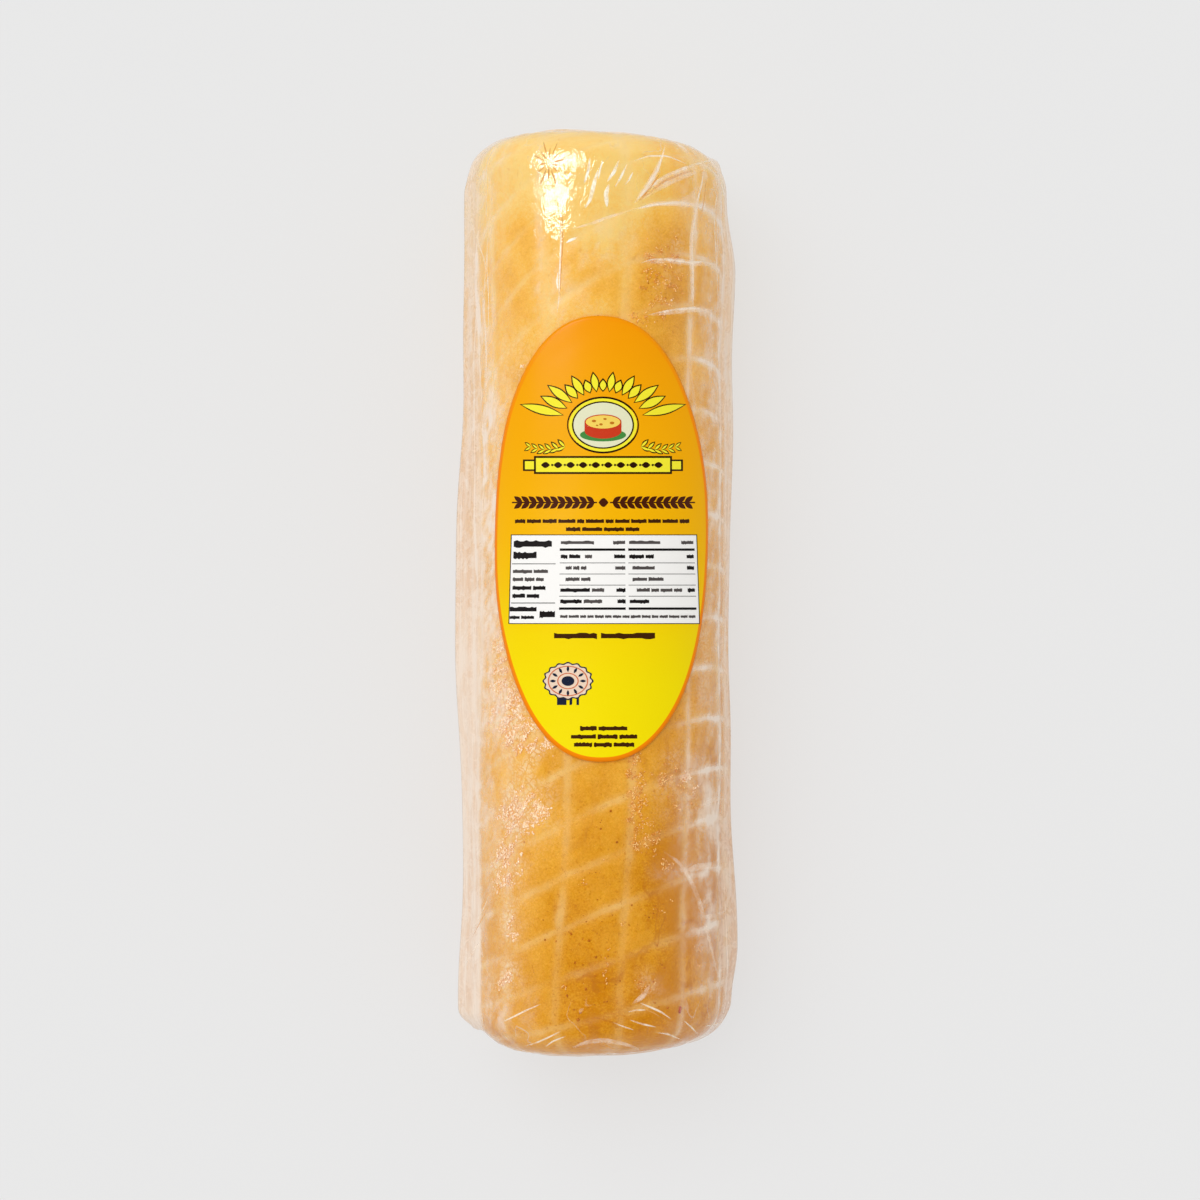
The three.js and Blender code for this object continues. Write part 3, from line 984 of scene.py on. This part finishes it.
def make_print(name, grids, layer, colour):
    """Printed areas of one colour: grids of pixels laid on the label, each turned to face up."""
    points, faces, start = [], [], 0
    for grid in grids:
        count, rows, columns = grid.shape[:3]
        step_a = grid[:, 1:, :-1] - grid[:, :-1, :-1]
        step_b = grid[:, :-1, 1:] - grid[:, :-1, :-1]
        facing = (step_a[..., 0] * step_b[..., 1] - step_a[..., 1] * step_b[..., 0]).sum((1, 2)) > 0
        grid = np.where(facing[:, None, None, None], grid[:, ::-1], grid)
        run, turn = on_skin(grid[..., 0], grid[..., 1], print_standoff)
        lift = LABEL_TOP + PRINT_LIFT * layer
        placed = skin(run, turn, swell(run, turn) + label_relief(run, turn) + lift)
        which, row, column = np.ogrid[:count, :rows - 1, :columns - 1]
        corner = start + (which * rows + row) * columns + column
        square = joined(corner, corner + columns, corner + columns + 1, corner + 1)
        faces.append(square.reshape(-1, 4))
        points.append(placed.reshape(-1, 3))
        start += placed.size // 3
    piece = new_piece(name, np.vstack(points), np.vstack(faces), smooth_faces=False)
    wall = piece.modifiers.new("ink", "SOLIDIFY")
    wall.thickness = PRINT_LIFT * MM * 0.8
    wall.offset = -1
    piece.data.materials.append(ink_finish(name, colour))


def ink_finish(name, colour):
    """Flat ink with a faint unevenness in its tone."""
    material, tree = new_finish(name + "_ink")
    wear = steps(noise(object_place(tree), 1300, 3, 0.6), 0.45, 0.8)
    tone = linear(*colour)
    worn = [min(1.0, value * 1.25 + 0.02) for value in tone]
    close(surface(tree, blend(wear * 0.18, tone, worn), 0.22, 0.1))
    return material


WORD_COLUMNS = 12


def word_bars(rows, seed):
    """Rows of plain ragged bars that stand for words: each row from its left and right pixels, its
    middle, its height and the usual length of a bar. Each column of a bar reaches up and down by one
    of two heights, drawn with a seed."""
    draw = np.random.default_rng(seed)
    words = []
    for left, right, middle, height, length in rows:
        count = max(1, round((right - left) / length))
        cuts = np.arange(count + 1.0)
        cuts[1:-1] += draw.uniform(-0.25, 0.25, count)[:-1]
        cuts = left + (right - left) * cuts / count
        gap = min(0.35 * height, 2.4) * (count > 1)
        for start, end in zip(cuts[:-1], cuts[1:]):
            x = np.linspace(start, end - gap, WORD_COLUMNS + 1)
            up = height / 2 * draw.choice([1.0, 0.7], WORD_COLUMNS + 1, p=[0.35, 0.65])
            down = height / 2 * draw.choice([0.7, 1.0], WORD_COLUMNS + 1, p=[0.85, 0.15])
            words.append(np.stack([joined(x, middle - up), joined(x, middle + down)], 1))
    return np.array(words)


PANEL = ((511, 534.5), (697, 534.5), (700, 624), (508.5, 624))


def in_panel(grid):
    """Moves a grid from the panel's even box to its real corners, which widen downwards."""
    (left, top), (right, _), (low_right, bottom), (low_left, _) = PANEL
    share = (grid[..., 1] - top) / (bottom - top)
    middle = (left + right) / 2
    scale = mix(1, (low_right - low_left) / (right - left), share)
    x = middle + (grid[..., 0] - middle) * scale + mix(0, (low_right + low_left) / 2 - middle, share)
    return joined(x, grid[..., 1])


# Lines of the panel as left and right pixels, middle, height and usual word length
PANEL_HEADS = ((514, 552, 544, 7.6, 40), (514, 537, 555.5, 7.6, 25), (541, 556, 614.5, 7.6, 16),
               (514, 548, 588, 4.8, 17), (514, 542, 596, 4.8, 14), (512, 538, 609.5, 5.4, 27),
               (512, 537, 617.5, 3.8, 12), (561, 582, 556.6, 4.6, 10), (561, 590, 590.2, 4.6, 30),
               (561, 582, 601.5, 4.6, 22), (629, 655, 556.6, 4.6, 13), (629, 648, 601.5, 4.6, 20),
               (614, 625, 556.6, 4.6, 12), (616, 625, 590.2, 4.6, 10), (617, 625, 601.5, 4.6, 10),
               (686, 693, 556.6, 4.6, 8), (686, 693, 568, 4.6, 8), (686, 693, 590.2, 4.6, 8))
PANEL_LINES = ((514, 550, 571.5, 4.2, 18), (514, 546, 579.5, 4.2, 12), (561, 594, 542.6, 4, 34),
               (613, 625, 542.6, 4, 13), (629, 660, 542.6, 4, 32), (681, 693, 542.6, 4, 13),
               (566, 588, 568, 4.2, 8), (566, 592, 579.3, 4.2, 14), (615, 625, 568, 4.4, 11),
               (592, 604, 590.2, 4.2, 12), (584, 602, 601.5, 4.2, 18), (632, 654, 568, 4.2, 16),
               (632, 664, 579.3, 4.2, 13), (636, 682, 590.2, 4.2, 12), (585, 592, 556.6, 4.2, 8),
               (561, 694, 616.6, 3.2, 9))


INK = (24, 21, 21)
BROWN = (46, 22, 8)
NAVY = (28, 36, 58)


def make_panel():
    """The white facts panel, with its thin edge, its rules, and bars for its lines."""
    (left, top), (right, bottom) = PANEL[0], (PANEL[1][0], PANEL[2][1])
    edge = 0.8
    rim = [(left, top, right, top + edge), (left, bottom - edge, right, bottom),
           (left, top, left + edge, bottom), (right - edge, top, right, bottom)]
    rules = [(513, 563.5, 556, 564.2), (513, 602.6, 556, 603.4)]
    for x0, x1 in ((560, 625), (628, 694)):
        rules += [(x0, 548.4, x1, 550.8), (x0, 607.4, x1, 609.8)]
        rules += [(x0, y, x1, y + 0.6) for y in (562.6, 573.7, 584.8, 595.9)]
    for name, grids, layer, colour in (
            ("panel_ground", [bars([(left, top, right, bottom)], 40, 12)], 1, (253, 251, 247)),
            ("panel_rules", [bars(rim, 40, 12), bars(rules, 16, 1)], 2, INK),
            ("panel_heads", [word_bars(PANEL_HEADS, 41)], 2, (30, 26, 26)),
            ("panel_lines", [word_bars(PANEL_LINES, 42)], 2, (84, 78, 76))):
        make_print(name, [in_panel(grid) for grid in grids], layer, colour)


# The emblem: a medallion between leaf sprays, under an arch of rays and over a ribbon
MEDALLION = (603, 425)
ARCH = (603, 492, 121)
RAY_COUNT = 15


def make_rays():
    """Rays round the medallion: each a pointed oval, from an oval round it out to a wide arch."""
    x, y = MEDALLION
    angles = np.linspace(14, 166, RAY_COUNT)
    inner = 41 * 33 / np.hypot(33 * cosine(angles), 41 * sine(angles))
    drop = ARCH[1] - y
    outer = np.sqrt(ARCH[2] ** 2 - (drop * cosine(angles)) ** 2) - drop * sine(angles)
    outer -= 7 * (np.arange(RAY_COUNT) % 2)
    rays = joined(x + inner * cosine(angles), y - inner * sine(angles), angles, outer - inner,
                  mix(8.6, 10.4, np.abs(cosine(angles))))
    cores = rays + [0, 0, 0, -3.6, -2.5]
    cores[:, 0] += 1.5 * cosine(angles)
    cores[:, 1] -= 1.5 * sine(angles)
    return rays, cores


def make_sprays():
    """A leaf spray on each side: leaves in pairs along a low curve, smaller towards its tip."""
    along = np.linspace(0, 1, 6)
    size = mix(1, 0.72, along)
    sprays = []
    for side in (-1, 1):
        x = MEDALLION[0] + side * mix(38, 72, along)
        y = 447 + 3 * np.sin(np.pi * along)
        heading = 90 - side * (78 + 8 * along)
        sprays += [joined(x, y, heading + tilt, 11 * size, 4.6 * size) for tilt in (34, -34)]
    return np.vstack(sprays)


RIBBON_STEP = 12.55
WHEEL_HOLES = ((-9, -1, 2.2), (-2, 2.4, 1.8), (2, -3, 1.7), (9, 1, 2.3), (-6, 3.4, 1.2))


def make_emblem():
    """The emblem: dark outlines first, then gold, cream, green and red areas on them."""
    x, y = MEDALLION
    rays, ray_cores = make_rays()
    sprays = make_sprays()
    ribbon = ((534, 456, 672, 474), (523, 459.5, 536, 471), (670, 459.5, 683, 471))
    ribbon_core = ((536, 458, 670, 472), (525, 461.2, 534, 469.3), (672, 461.2, 681, 469.3))
    marks = np.array([(centre, 465, 0, 9, 6) for centre in np.arange(541, 661, RIBBON_STEP)])
    dots = [ovals((centre, 465), (0.2, 0.2), (1.2, 1.2), 10) for centre in np.arange(552.3, 655, RIBBON_STEP)]
    wheel = [ovals((x, y + 6), (0.3, 0.3), (18.4, 7.6)), bars([(x - 18.4, y - 3, x + 18.4, y + 6)], 2, 2),
             ovals((x, y - 3), (0.3, 0.3), (18.4, 7.6))]
    holes = [ovals((x + dx, y - 3 + dy), (0.1, 0.1), (size, size * 0.6), 14) for dx, dy, size in WHEEL_HOLES]
    for name, grids, layer, colour in (
            ("emblem_outlines", [leaves(rays), leaves(sprays), ovals(MEDALLION, (0.5, 0.5), (36, 28.5)),
                                 bars(ribbon, 24, 2)], 1, BROWN),
            ("emblem_gold", [leaves(ray_cores), leaves(sprays * [1, 1, 1, 0.84, 0.52]),
                             ovals(MEDALLION, (0.5, 0.5), (34, 26.6)), bars(ribbon_core, 24, 2)], 2,
             (250, 238, 52)),
            ("medallion_rim", [ovals(MEDALLION, (29.5, 22.4), (31, 23.8))], 3, BROWN),
            ("medallion_sky", [ovals(MEDALLION, (0.5, 0.5), (29.5, 22.4))], 3, (232, 232, 196)),
            ("medallion_board", [ovals((x, y + 10), (0.5, 0.5), (23, 6.4))], 4, (70, 140, 66)),
            ("ribbon_marks", [leaves(marks), *dots], 3, BROWN),
            ("wheel_side", wheel, 5, (206, 60, 30)),
            ("wheel_top", [ovals((x, y - 3), (0.3, 0.3), (17.2, 6.6))], 6, (248, 214, 96)),
            ("wheel_holes", holes, 7, (196, 120, 30))):
        make_print(name, grids, layer, colour)


BADGE = (568, 681)


def make_badge():
    """A plain scalloped rosette with two tails."""
    x, y = BADGE
    angle = np.linspace(0, 360, 97)[:, None]
    share = np.linspace(0.02, 1, 3)[None, :]
    reach = share * (1 + 0.045 * cosine(angle * 16))
    ground, rim = [joined(x + wide * reach * cosine(angle), y - high * reach * sine(angle))[None]
                   for wide, high in ((23, 17), (24.6, 18.4))]
    spokes = np.arange(0, 360, 30.0)
    rays = joined(x + 11.8 * cosine(spokes), y - 8.9 * sine(spokes), spokes, 6.4, 2.8)
    tails = [(x - 11, y + 12, x - 1.5, y + 24), (x + 1.5, y + 12, x + 11, y + 24)]
    for name, grids, layer, colour in (
            ("badge_tails", [bars(tails, 1, 2)], 1, NAVY),
            ("badge_rim", [rim], 2, (40, 44, 62)),
            ("badge_ground", [ground], 3, (240, 214, 190)),
            ("badge_rings", [ovals(BADGE, (19, 14.2), (20.2, 15.2)),
                             ovals(BADGE, (9.6, 7.2), (10.8, 8.2))], 4, (214, 118, 76)),
            ("badge_rays", [leaves(rays, 4), ovals(BADGE, (0.2, 0.2), (6.4, 4.9), 24)], 4, NAVY)):
        make_print(name, grids, layer, colour)


# Lines of words outside the panel, as left and right pixels, middle, height and usual word length
SMALL_LINES = ((515, 691, 521.3, 4.6, 15), (566, 641, 529.4, 4.6, 18), (554, 597, 636, 6.4, 44),
               (601, 655, 636, 6.4, 55), (580, 629, 728.5, 5, 24), (571, 639, 736.8, 5, 20),
               (574, 636, 744.8, 5, 18))


def make_words():
    """A leafy divider under the emblem, and bars where the label has its lines outside the panel."""
    centre, middle = 603.5, 502.5
    step = np.arange(9, 88, 7.2)
    sides = [joined(centre + side * step, middle, 90 - side * (90 - tilt), 10.5, 4.8)
             for side in (-1, 1) for tilt in (36, -36)]
    diamond = [(centre - 5, middle, 0, 10, 9)]
    stem = [(start, middle - 0.7, start + 85, middle + 0.7) for start in (512, 610)]
    divider = [leaves(np.vstack(sides)), leaves(diamond), bars(stem, 16, 1)]
    make_print("label_divider", divider, 1, (74, 30, 10))
    make_print("label_small_lines", [word_bars(SMALL_LINES, 44)], 1, (66, 34, 8))


# ---------------------------------------------------------------- creases and small things

# Creases of the film, each with its half width and its pixels
# Their whitish milk is partly the folded film's haze and partly painted highlight along each crease.
CREASES = (
    (0.62, ((634, 203), (641, 195), (650, 182), (657, 171), (663, 154), (665, 144))),
    (0.7, ((634, 204), (646, 190), (663, 177), (682, 169), (697, 164), (711, 160), (717, 161))),
    (0.4, ((634, 161), (648, 156), (667, 156), (687, 164))),
    (0.6, ((704, 168), (702, 182), (697, 203), (694, 225), (692, 238))),
    (0.4, ((692, 244), (693, 270), (693, 306))),
    (0.6, ((716, 164), (717, 191), (714, 220), (716, 263), (718, 301))),
    (0.55, ((641, 263), (653, 259), (672, 260), (691, 263), (703, 261), (715, 265))),
    (0.45, ((630, 210), (653, 205), (670, 203), (686, 203))),
    (0.45, ((648, 315), (660, 312), (672, 310), (694, 308), (714, 311))),
    (0.4, ((560, 216), (561, 240), (560, 268), (559, 300), (557, 314))),
    (0.35, ((489, 230), (487, 265), (489, 300), (488, 345))),
    (0.35, ((466, 205), (476, 235), (484, 258), (489, 285))),
    (0.4, ((500, 1023), (513, 1017), (527, 1010), (541, 1004))),
    (0.4, ((525, 1046), (538, 1042), (549, 1037), (561, 1031))),
    (0.35, ((545, 1047), (553, 1041), (566, 1036))),
    (0.45, ((640, 1003), (650, 1007), (661, 1012), (671, 1019))),
    (0.35, ((628, 1012), (636, 1010), (646, 1010))),
    (0.4, ((630, 1020), (642, 1024), (656, 1027))),
    (0.35, ((683, 1020), (690, 1026), (698, 1034))),
    (0.35, ((703, 1026), (712, 1025), (723, 1022))),
    (0.35, ((470, 936), (478, 920), (485, 906), (490, 894))),
    (0.3, ((466, 965), (474, 950), (482, 938))),
    (0.35, ((481, 1031), (483, 1022), (481, 1008))),
    (0.3, ((500, 1046), (514, 1050), (532, 1052), (552, 1052))),
    (0.3, ((612, 1022), (622, 1026), (634, 1030))),
    (0.4, ((655, 1032), (668, 1034), (682, 1040))),
    (0.3, ((722, 330), (724, 420), (723, 520), (724, 620))),
    (0.3, ((728, 742), (728, 820), (729, 900), (729, 975))),
)
# Painted highlights: whitish milky slanted creases to the right of the bright spot, standing for its glints
PAINTED_GLINTS = (
    (0.6, ((590, 158), (588, 172), (584, 184))),
    (0.9, ((598, 170), (594, 184), (590, 200), (585, 208))),
    (0.4, ((603, 160), (600, 170), (598, 180))),
    (1.0, ((609, 184), (606, 194), (607, 207))),
    (0.7, ((619, 160), (614, 172), (607, 182))),
    (0.5, ((627, 164), (621, 177), (615, 187))),
    (0.4, ((633, 172), (629, 180), (625, 185))),
    (0.6, ((566, 243), (571, 240), (578, 237))),
    (0.4, ((558, 272), (557, 282), (558, 290))),
)
# Broad soft bands, where the film lifts off the cheese
LIFTS = (
    (1.4, ((664, 852), (677, 860), (687, 873), (695, 890), (702, 910), (708, 935), (714, 962), (721, 986))),
    (1.6, ((684, 872), (696, 867), (708, 866), (724, 861))),
    (1.2, ((700, 806), (712, 800), (724, 798))),
    (1.2, ((702, 918), (712, 916), (724, 912))),
    (1.1, ((650, 985), (643, 996), (632, 1004))),
    (1.0, ((488, 236), (484, 300), (487, 360), (484, 430))),
    (0.7, ((572, 229), (590, 224), (612, 216), (632, 210))),
    (1.3, ((572, 1048), (586, 1042), (603, 1040), (622, 1043), (640, 1049))),
    (0.9, ((608, 1053), (628, 1053), (651, 1050), (676, 1043))),
    (2.2, ((640, 200), (652, 190), (672, 178), (694, 170), (712, 164))),
    (1.3, ((636, 200), (646, 188), (654, 176), (662, 156))),
    (1.3, ((646, 263), (668, 260), (692, 263), (716, 265))),
    (1.3, ((650, 315), (676, 311), (696, 309), (718, 312))),
    (1.2, ((700, 186), (694, 216), (691, 242), (691, 270), (693, 310))),
    (1.1, ((636, 209), (654, 204), (676, 203), (696, 206), (714, 214))),
    (0.9, ((716, 176), (717, 220), (717, 280), (718, 340))),
)
# Fold shades, brownish lines beside or across bright creases
FOLD_SHADES = (
    (0.50, ((637, 203), (645, 194), (653, 184), (660, 173))),
    (0.55, ((641, 200), (650, 192), (664, 181), (684, 173), (698, 169))),
    (0.30, ((562, 212), (563, 240), (561, 268), (560, 300))),
    (0.24, ((706, 180), (704, 200), (700, 222))),
    (0.22, ((642, 1008), (654, 1013), (668, 1022))),
    (0.20, ((472, 938), (481, 921), (488, 908))),
    (0.20, ((598, 1040), (606, 1046), (618, 1050))),
)
# A star of short shades: its middle, and each one's heading and reach in pixels
STAR_MIDDLE = (549, 163)
STAR_RAYS = ((10, 4, 15), (38, 3, 13), (62, 5, 19), (84, 3, 12), (108, 5, 18), (131, 3, 12), (158, 4, 16),
             (186, 3, 10), (214, 5, 15), (243, 4, 20), (268, 3, 14), (293, 5, 19), (322, 4, 12), (345, 3, 9))
STAR_HALF_WIDTH = 0.3
CREASE_STEPS = 40
CREASE_LIFT = 0.08
CREASE_SIDES = 8


def smooth_paths(paths, count):
    """Each path run through evenly by length: straight pieces, then rounded by averaging."""
    result = []
    for path in paths:
        knots = np.array(path, float)
        length = np.concatenate([[0], np.cumsum(np.hypot(*np.diff(knots, axis=0).T))])
        at = np.linspace(0, length[-1], count)
        line = joined(*[np.interp(at, length, places) for places in knots.T])
        for _ in range(6):
            line[1:-1] = (line[:-2] + 2 * line[1:-1] + line[2:]) / 4
        result.append(line)
    return np.array(result)


def sweep_creases(name, paths, height, milk, tone, gloss=0.4):
    """Raised creases: a flat lens carried along each path on the film, thinning to both tips, and
    clear at its two edges."""
    widths = np.array([width for width, _ in paths])[:, None, None]
    lines = smooth_paths([path for _, path in paths], CREASE_STEPS)
    run, turn = on_skin(lines[..., 0], lines[..., 1], film_standoff)
    base = film_standoff(run, turn)
    middle = skin(run, turn, base + CREASE_LIFT)
    above = unit(skin(run, turn, base + CREASE_LIFT + 1) - middle)
    beside = unit(np.cross(np.gradient(middle, axis=1), above))
    taper = np.sin(np.pi * np.linspace(0.02, 0.98, CREASE_STEPS)) ** 0.6
    angle = (np.arange(CREASE_SIDES) * 360 / CREASE_SIDES)[:, None]
    lens = beside[:, :, None] * cosine(angle) + above[:, :, None] * height * sine(angle)
    rings = middle[:, :, None] + (widths * taper[None, :, None])[..., None] * lens
    points, faces, start = [], [], 0
    for ring, core in zip(rings, middle):
        part_points, part_faces = closed_tube(ring, core[:1], core[-1:])
        faces += [[index + start for index in face] for face in part_faces]
        points.append(part_points)
        start += len(part_points)
    solid = np.append(np.abs(sine(angle[:, 0])) ** 0.7 * taper[:, None], [0, 0])
    piece = new_piece(name, np.vstack(points), faces, {"solid": np.tile(solid, len(lines))})
    as_film(piece)
    piece.data.materials.append(plain_film_finish(name + "_finish", milk, tone, gloss))


def make_creases():
    """The whitish creases, partly painted highlight, the painted glints beside the bright spot, the soft
    lifts, and the brownish shades of folds with the star of fine ones.
    """
    # The first creases' whitish milk is partly the folded film's haze and partly painted highlight.
    sweep_creases("film_creases", CREASES, 0.2, 0.62, (255, 238, 214))
    # The next ones are painted highlights: near-white milky ridges standing for glints.
    sweep_creases("glint_creases", PAINTED_GLINTS, 0.25, 0.85, (255, 248, 228))
    sweep_creases("film_lifts", LIFTS, 0.06, 0.32, (255, 234, 212))
    x, y = STAR_MIDDLE
    star = tuple((STAR_HALF_WIDTH, [(x + reach * cosine(heading), y - 1.25 * reach * sine(heading))
                                    for reach in (start, (start + end) / 2, end)])
                 for heading, start, end in STAR_RAYS)
    sweep_creases("fold_shades", FOLD_SHADES + star, 0.25, 0.95, (230, 164, 86), 0.05)


def pebble(seed):
    """An uneven pebble of twelve points and twenty faces: an icosahedron with its points moved."""
    draw = np.random.default_rng(seed)
    gold = (1 + 5 ** 0.5) / 2
    points = np.array([(s, t * gold, 0) for s in (-1, 1) for t in (-1, 1)])
    points = np.vstack([points, points[:, [2, 0, 1]], points[:, [1, 2, 0]]]) / np.hypot(1, gold)
    near = np.linalg.norm(points[:, None] - points, axis=-1) < 1.1
    corners = [(a, b, c) for a in range(12) for b in range(a + 1, 12) for c in range(b + 1, 12)
               if near[a, b] and near[b, c] and near[a, c]]
    outward = [np.dot(np.cross(points[b] - points[a], points[c] - points[a]), points[a]) > 0
               for a, b, c in corners]
    faces = np.array([(a, b, c) if out else (a, c, b) for (a, b, c), out in zip(corners, outward)])
    return points * draw.uniform(0.75, 1.2, (12, 1)), faces


def scatter(name, places, sizes, flatness, finish, seed, lengths=None, headings=None):
    """Small pebbles laid on the cheese at their pixels, each with its own size, stretch and turn."""
    points, faces = pebble(seed)
    draw = np.random.default_rng(seed + 1)
    run, turn = on_skin(places[:, 0], places[:, 1], on_cheese)
    middle = skin(run, turn, on_cheese(run, turn))
    above = unit(skin(run, turn, on_cheese(run, turn) + 1) - middle)
    heading = draw.uniform(0, 360, len(run)) if headings is None else headings
    ahead = joined(cosine(heading), sine(heading), 0)
    ahead = unit(ahead - above * (ahead * above).sum(-1, keepdims=True))
    beside = np.cross(above, ahead)
    lengths = draw.uniform(0.8, 1.7, len(run)) if lengths is None else lengths
    shape = (points[None, :, :1] * ahead[:, None] * lengths[:, None, None]
             + points[None, :, 1:2] * beside[:, None] + points[None, :, 2:] * above[:, None] * flatness)
    placed = (middle[:, None] + shape * sizes[:, None, None]).reshape(-1, 3)
    shifted = (faces[None] + 12 * np.arange(len(run))[:, None, None]).reshape(-1, 3)
    piece = new_piece(name, placed, shifted)
    piece.data.materials.append(finish)


# The corners of the log's box in the picture
LOG_PIXELS = ((455, 135), (745, 1062))


def cloud_places(patches, tries, seed):
    """Seeded places in soft patches (pixel, radii across and down, strength): tries all over the
    log, kept where the patches times a cloudy wave pass a drawn threshold."""
    draw = np.random.default_rng(seed)
    places = draw.uniform(*LOG_PIXELS, (tries, 2))
    cloudy = np.clip(0.55 + 0.5 * waves(np.pad(places, ((0, 0), (0, 1))), 13, seed), 0, 1.3)
    return places[spots(*places.T, patches) * cloudy > draw.uniform(0.38, 1.0, tries)]


CRYSTAL_PATCHES = ((507, 706, 22, 34, 1.5), (524, 738, 18, 16, 1.4), (545, 750, 12, 10, 1.1),
                   (532, 812, 20, 22, 1.8), (508, 816, 12, 18, 1.4), (505, 866, 16, 28, 1.5),
                   (512, 928, 9, 14, 1.2), (504, 980, 10, 13, 1.3), (524, 395, 9, 50, 0.7),
                   (498, 640, 12, 50, 1.0), (690, 785, 13, 16, 1.0),
                   (700, 560, 10, 60, 0.6), (668, 300, 14, 24, 0.7))
BUBBLE_PATCHES = ((637, 790, 8, 42, 3.2), (650, 838, 9, 16, 2.4), (664, 864, 9, 7, 2.0),
                  (666, 776, 12, 14, 1.6), (586, 885, 4, 6, 1), (606, 970, 5, 22, 1.4),
                  (646, 986, 12, 14, 1.3), (622, 924, 3, 3, 1.3), (662, 275, 24, 40, 1.4),
                  (684, 800, 20, 24, 0.85), (640, 318, 20, 8, 0.9), (563, 988, 4, 4, 1),
                  (600, 860, 30, 60, 0.35), (664, 905, 16, 14, 0.8), (700, 940, 8, 40, 0.6))
SPECK_PATCHES = ((585, 900, 34, 50, 0.9), (590, 985, 44, 36, 1.2), (652, 900, 30, 60, 0.8),
                 (612, 822, 22, 34, 0.9), (655, 300, 24, 50, 0.7), (676, 240, 14, 30, 0.5),
                 (590, 230, 20, 20, 0.4), (660, 985, 20, 24, 0.9))
# Single specks, each by its pixel and its size
SPECKS = ((611, 811, .5), (601, 829, .5), (617, 842, .55), (571, 934, .5), (589, 941, .5), (596, 957, .45),
          (575, 963, .6), (586, 989, .55), (567, 996, .5), (578, 1020, .65), (543, 920, .35), (545, 940, .4),
          (662, 965, .35), (560, 190, .2), (617, 322, .35), (598, 316, .3), (524, 842, .3), (655, 1003, .4),
          (668, 1008, .45), (648, 986, .4), (603, 975, .35), (632, 905, .4), (556, 941, .3), (629, 925, .35))


BROWN_SPECK = (206, 116, 10)
SIZE_SEED = 52


def speck_finish(name, colour, roughness, gloss=0.1, glow=0, dark=(0.8, 0.8, 0.8)):
    """Small lumps of one colour, mottled with a darker one, with a painted glow of their own colour where
    glow is above 0.
    """
    material, tree = new_finish(name)
    shade = [value * share for value, share in zip(linear(*colour), dark)]
    mottle = steps(noise(object_place(tree), 700, 2, 0.5), 0.38, 0.62)
    body = blend(mottle, linear(*colour), (*shade, 1))
    close(surface(tree, body, roughness, gloss, Emission_Color=body, Emission_Strength=glow))
    return material


def on_cheese(run, turn):
    """Just on the cheese, under the film."""
    _, y, outward, _ = outline(run)
    return outward * swell(y, turn) + CHEESE_INSET + 0.1


def make_small_things():
    """Crystals, bubbles and fine specks in clusters, and single specks, all on the cheese under the
    film."""
    draw = np.random.default_rng(SIZE_SEED)
    # Crystals and bubbles have a painted glow of their own colour, 0.12 and 0.1, that brightens them.
    for name, patches, tries, seed, sizes, flatness, shape_seed, finish in (
            ("crystals", CRYSTAL_PATCHES, 150000, 51, (0.16, 0.46), 0.5, 53,
             speck_finish("pale_crystal", (255, 226, 186), 0.25, 0.5, 0.12, (0.88, 0.66, 0.44))),
            ("air_bubbles", BUBBLE_PATCHES, 90000, 54, (0.14, 0.36), 0.7, 55,
             speck_finish("bubble", (255, 206, 124), 0.15, 0.8, 0.1, (0.72, 0.46, 0.16))),
            ("fine_specks", SPECK_PATCHES, 4200, 58, (0.14, 0.3), 0.4, 59,
             speck_finish("fine_speck", BROWN_SPECK, 0.4))):
        places = cloud_places(patches, tries, seed)
        scatter(name, places, draw.uniform(*sizes, len(places)), flatness, finish, shape_seed)
    specks = np.array(SPECKS)
    scatter("dark_specks", specks[:, :2], specks[:, 2] * 0.85, 0.3,
            speck_finish("smoke_speck", BROWN_SPECK, 0.4), 56)
    # The long speck has a painted glow of its own colour, 0.2.
    scatter("long_speck", np.array([(680.0, 1010.0)]), np.array([0.7]), 0.4,
            speck_finish("dark_speck", (178, 62, 0), 0.4, 0, 0.2), 57, np.array([2.6]), np.array([78.0]))


set_camera()
set_light()
make_floor()
make_cheese()
make_film()
make_label()
make_panel()
make_emblem()
make_badge()
make_words()
make_creases()
make_small_things()
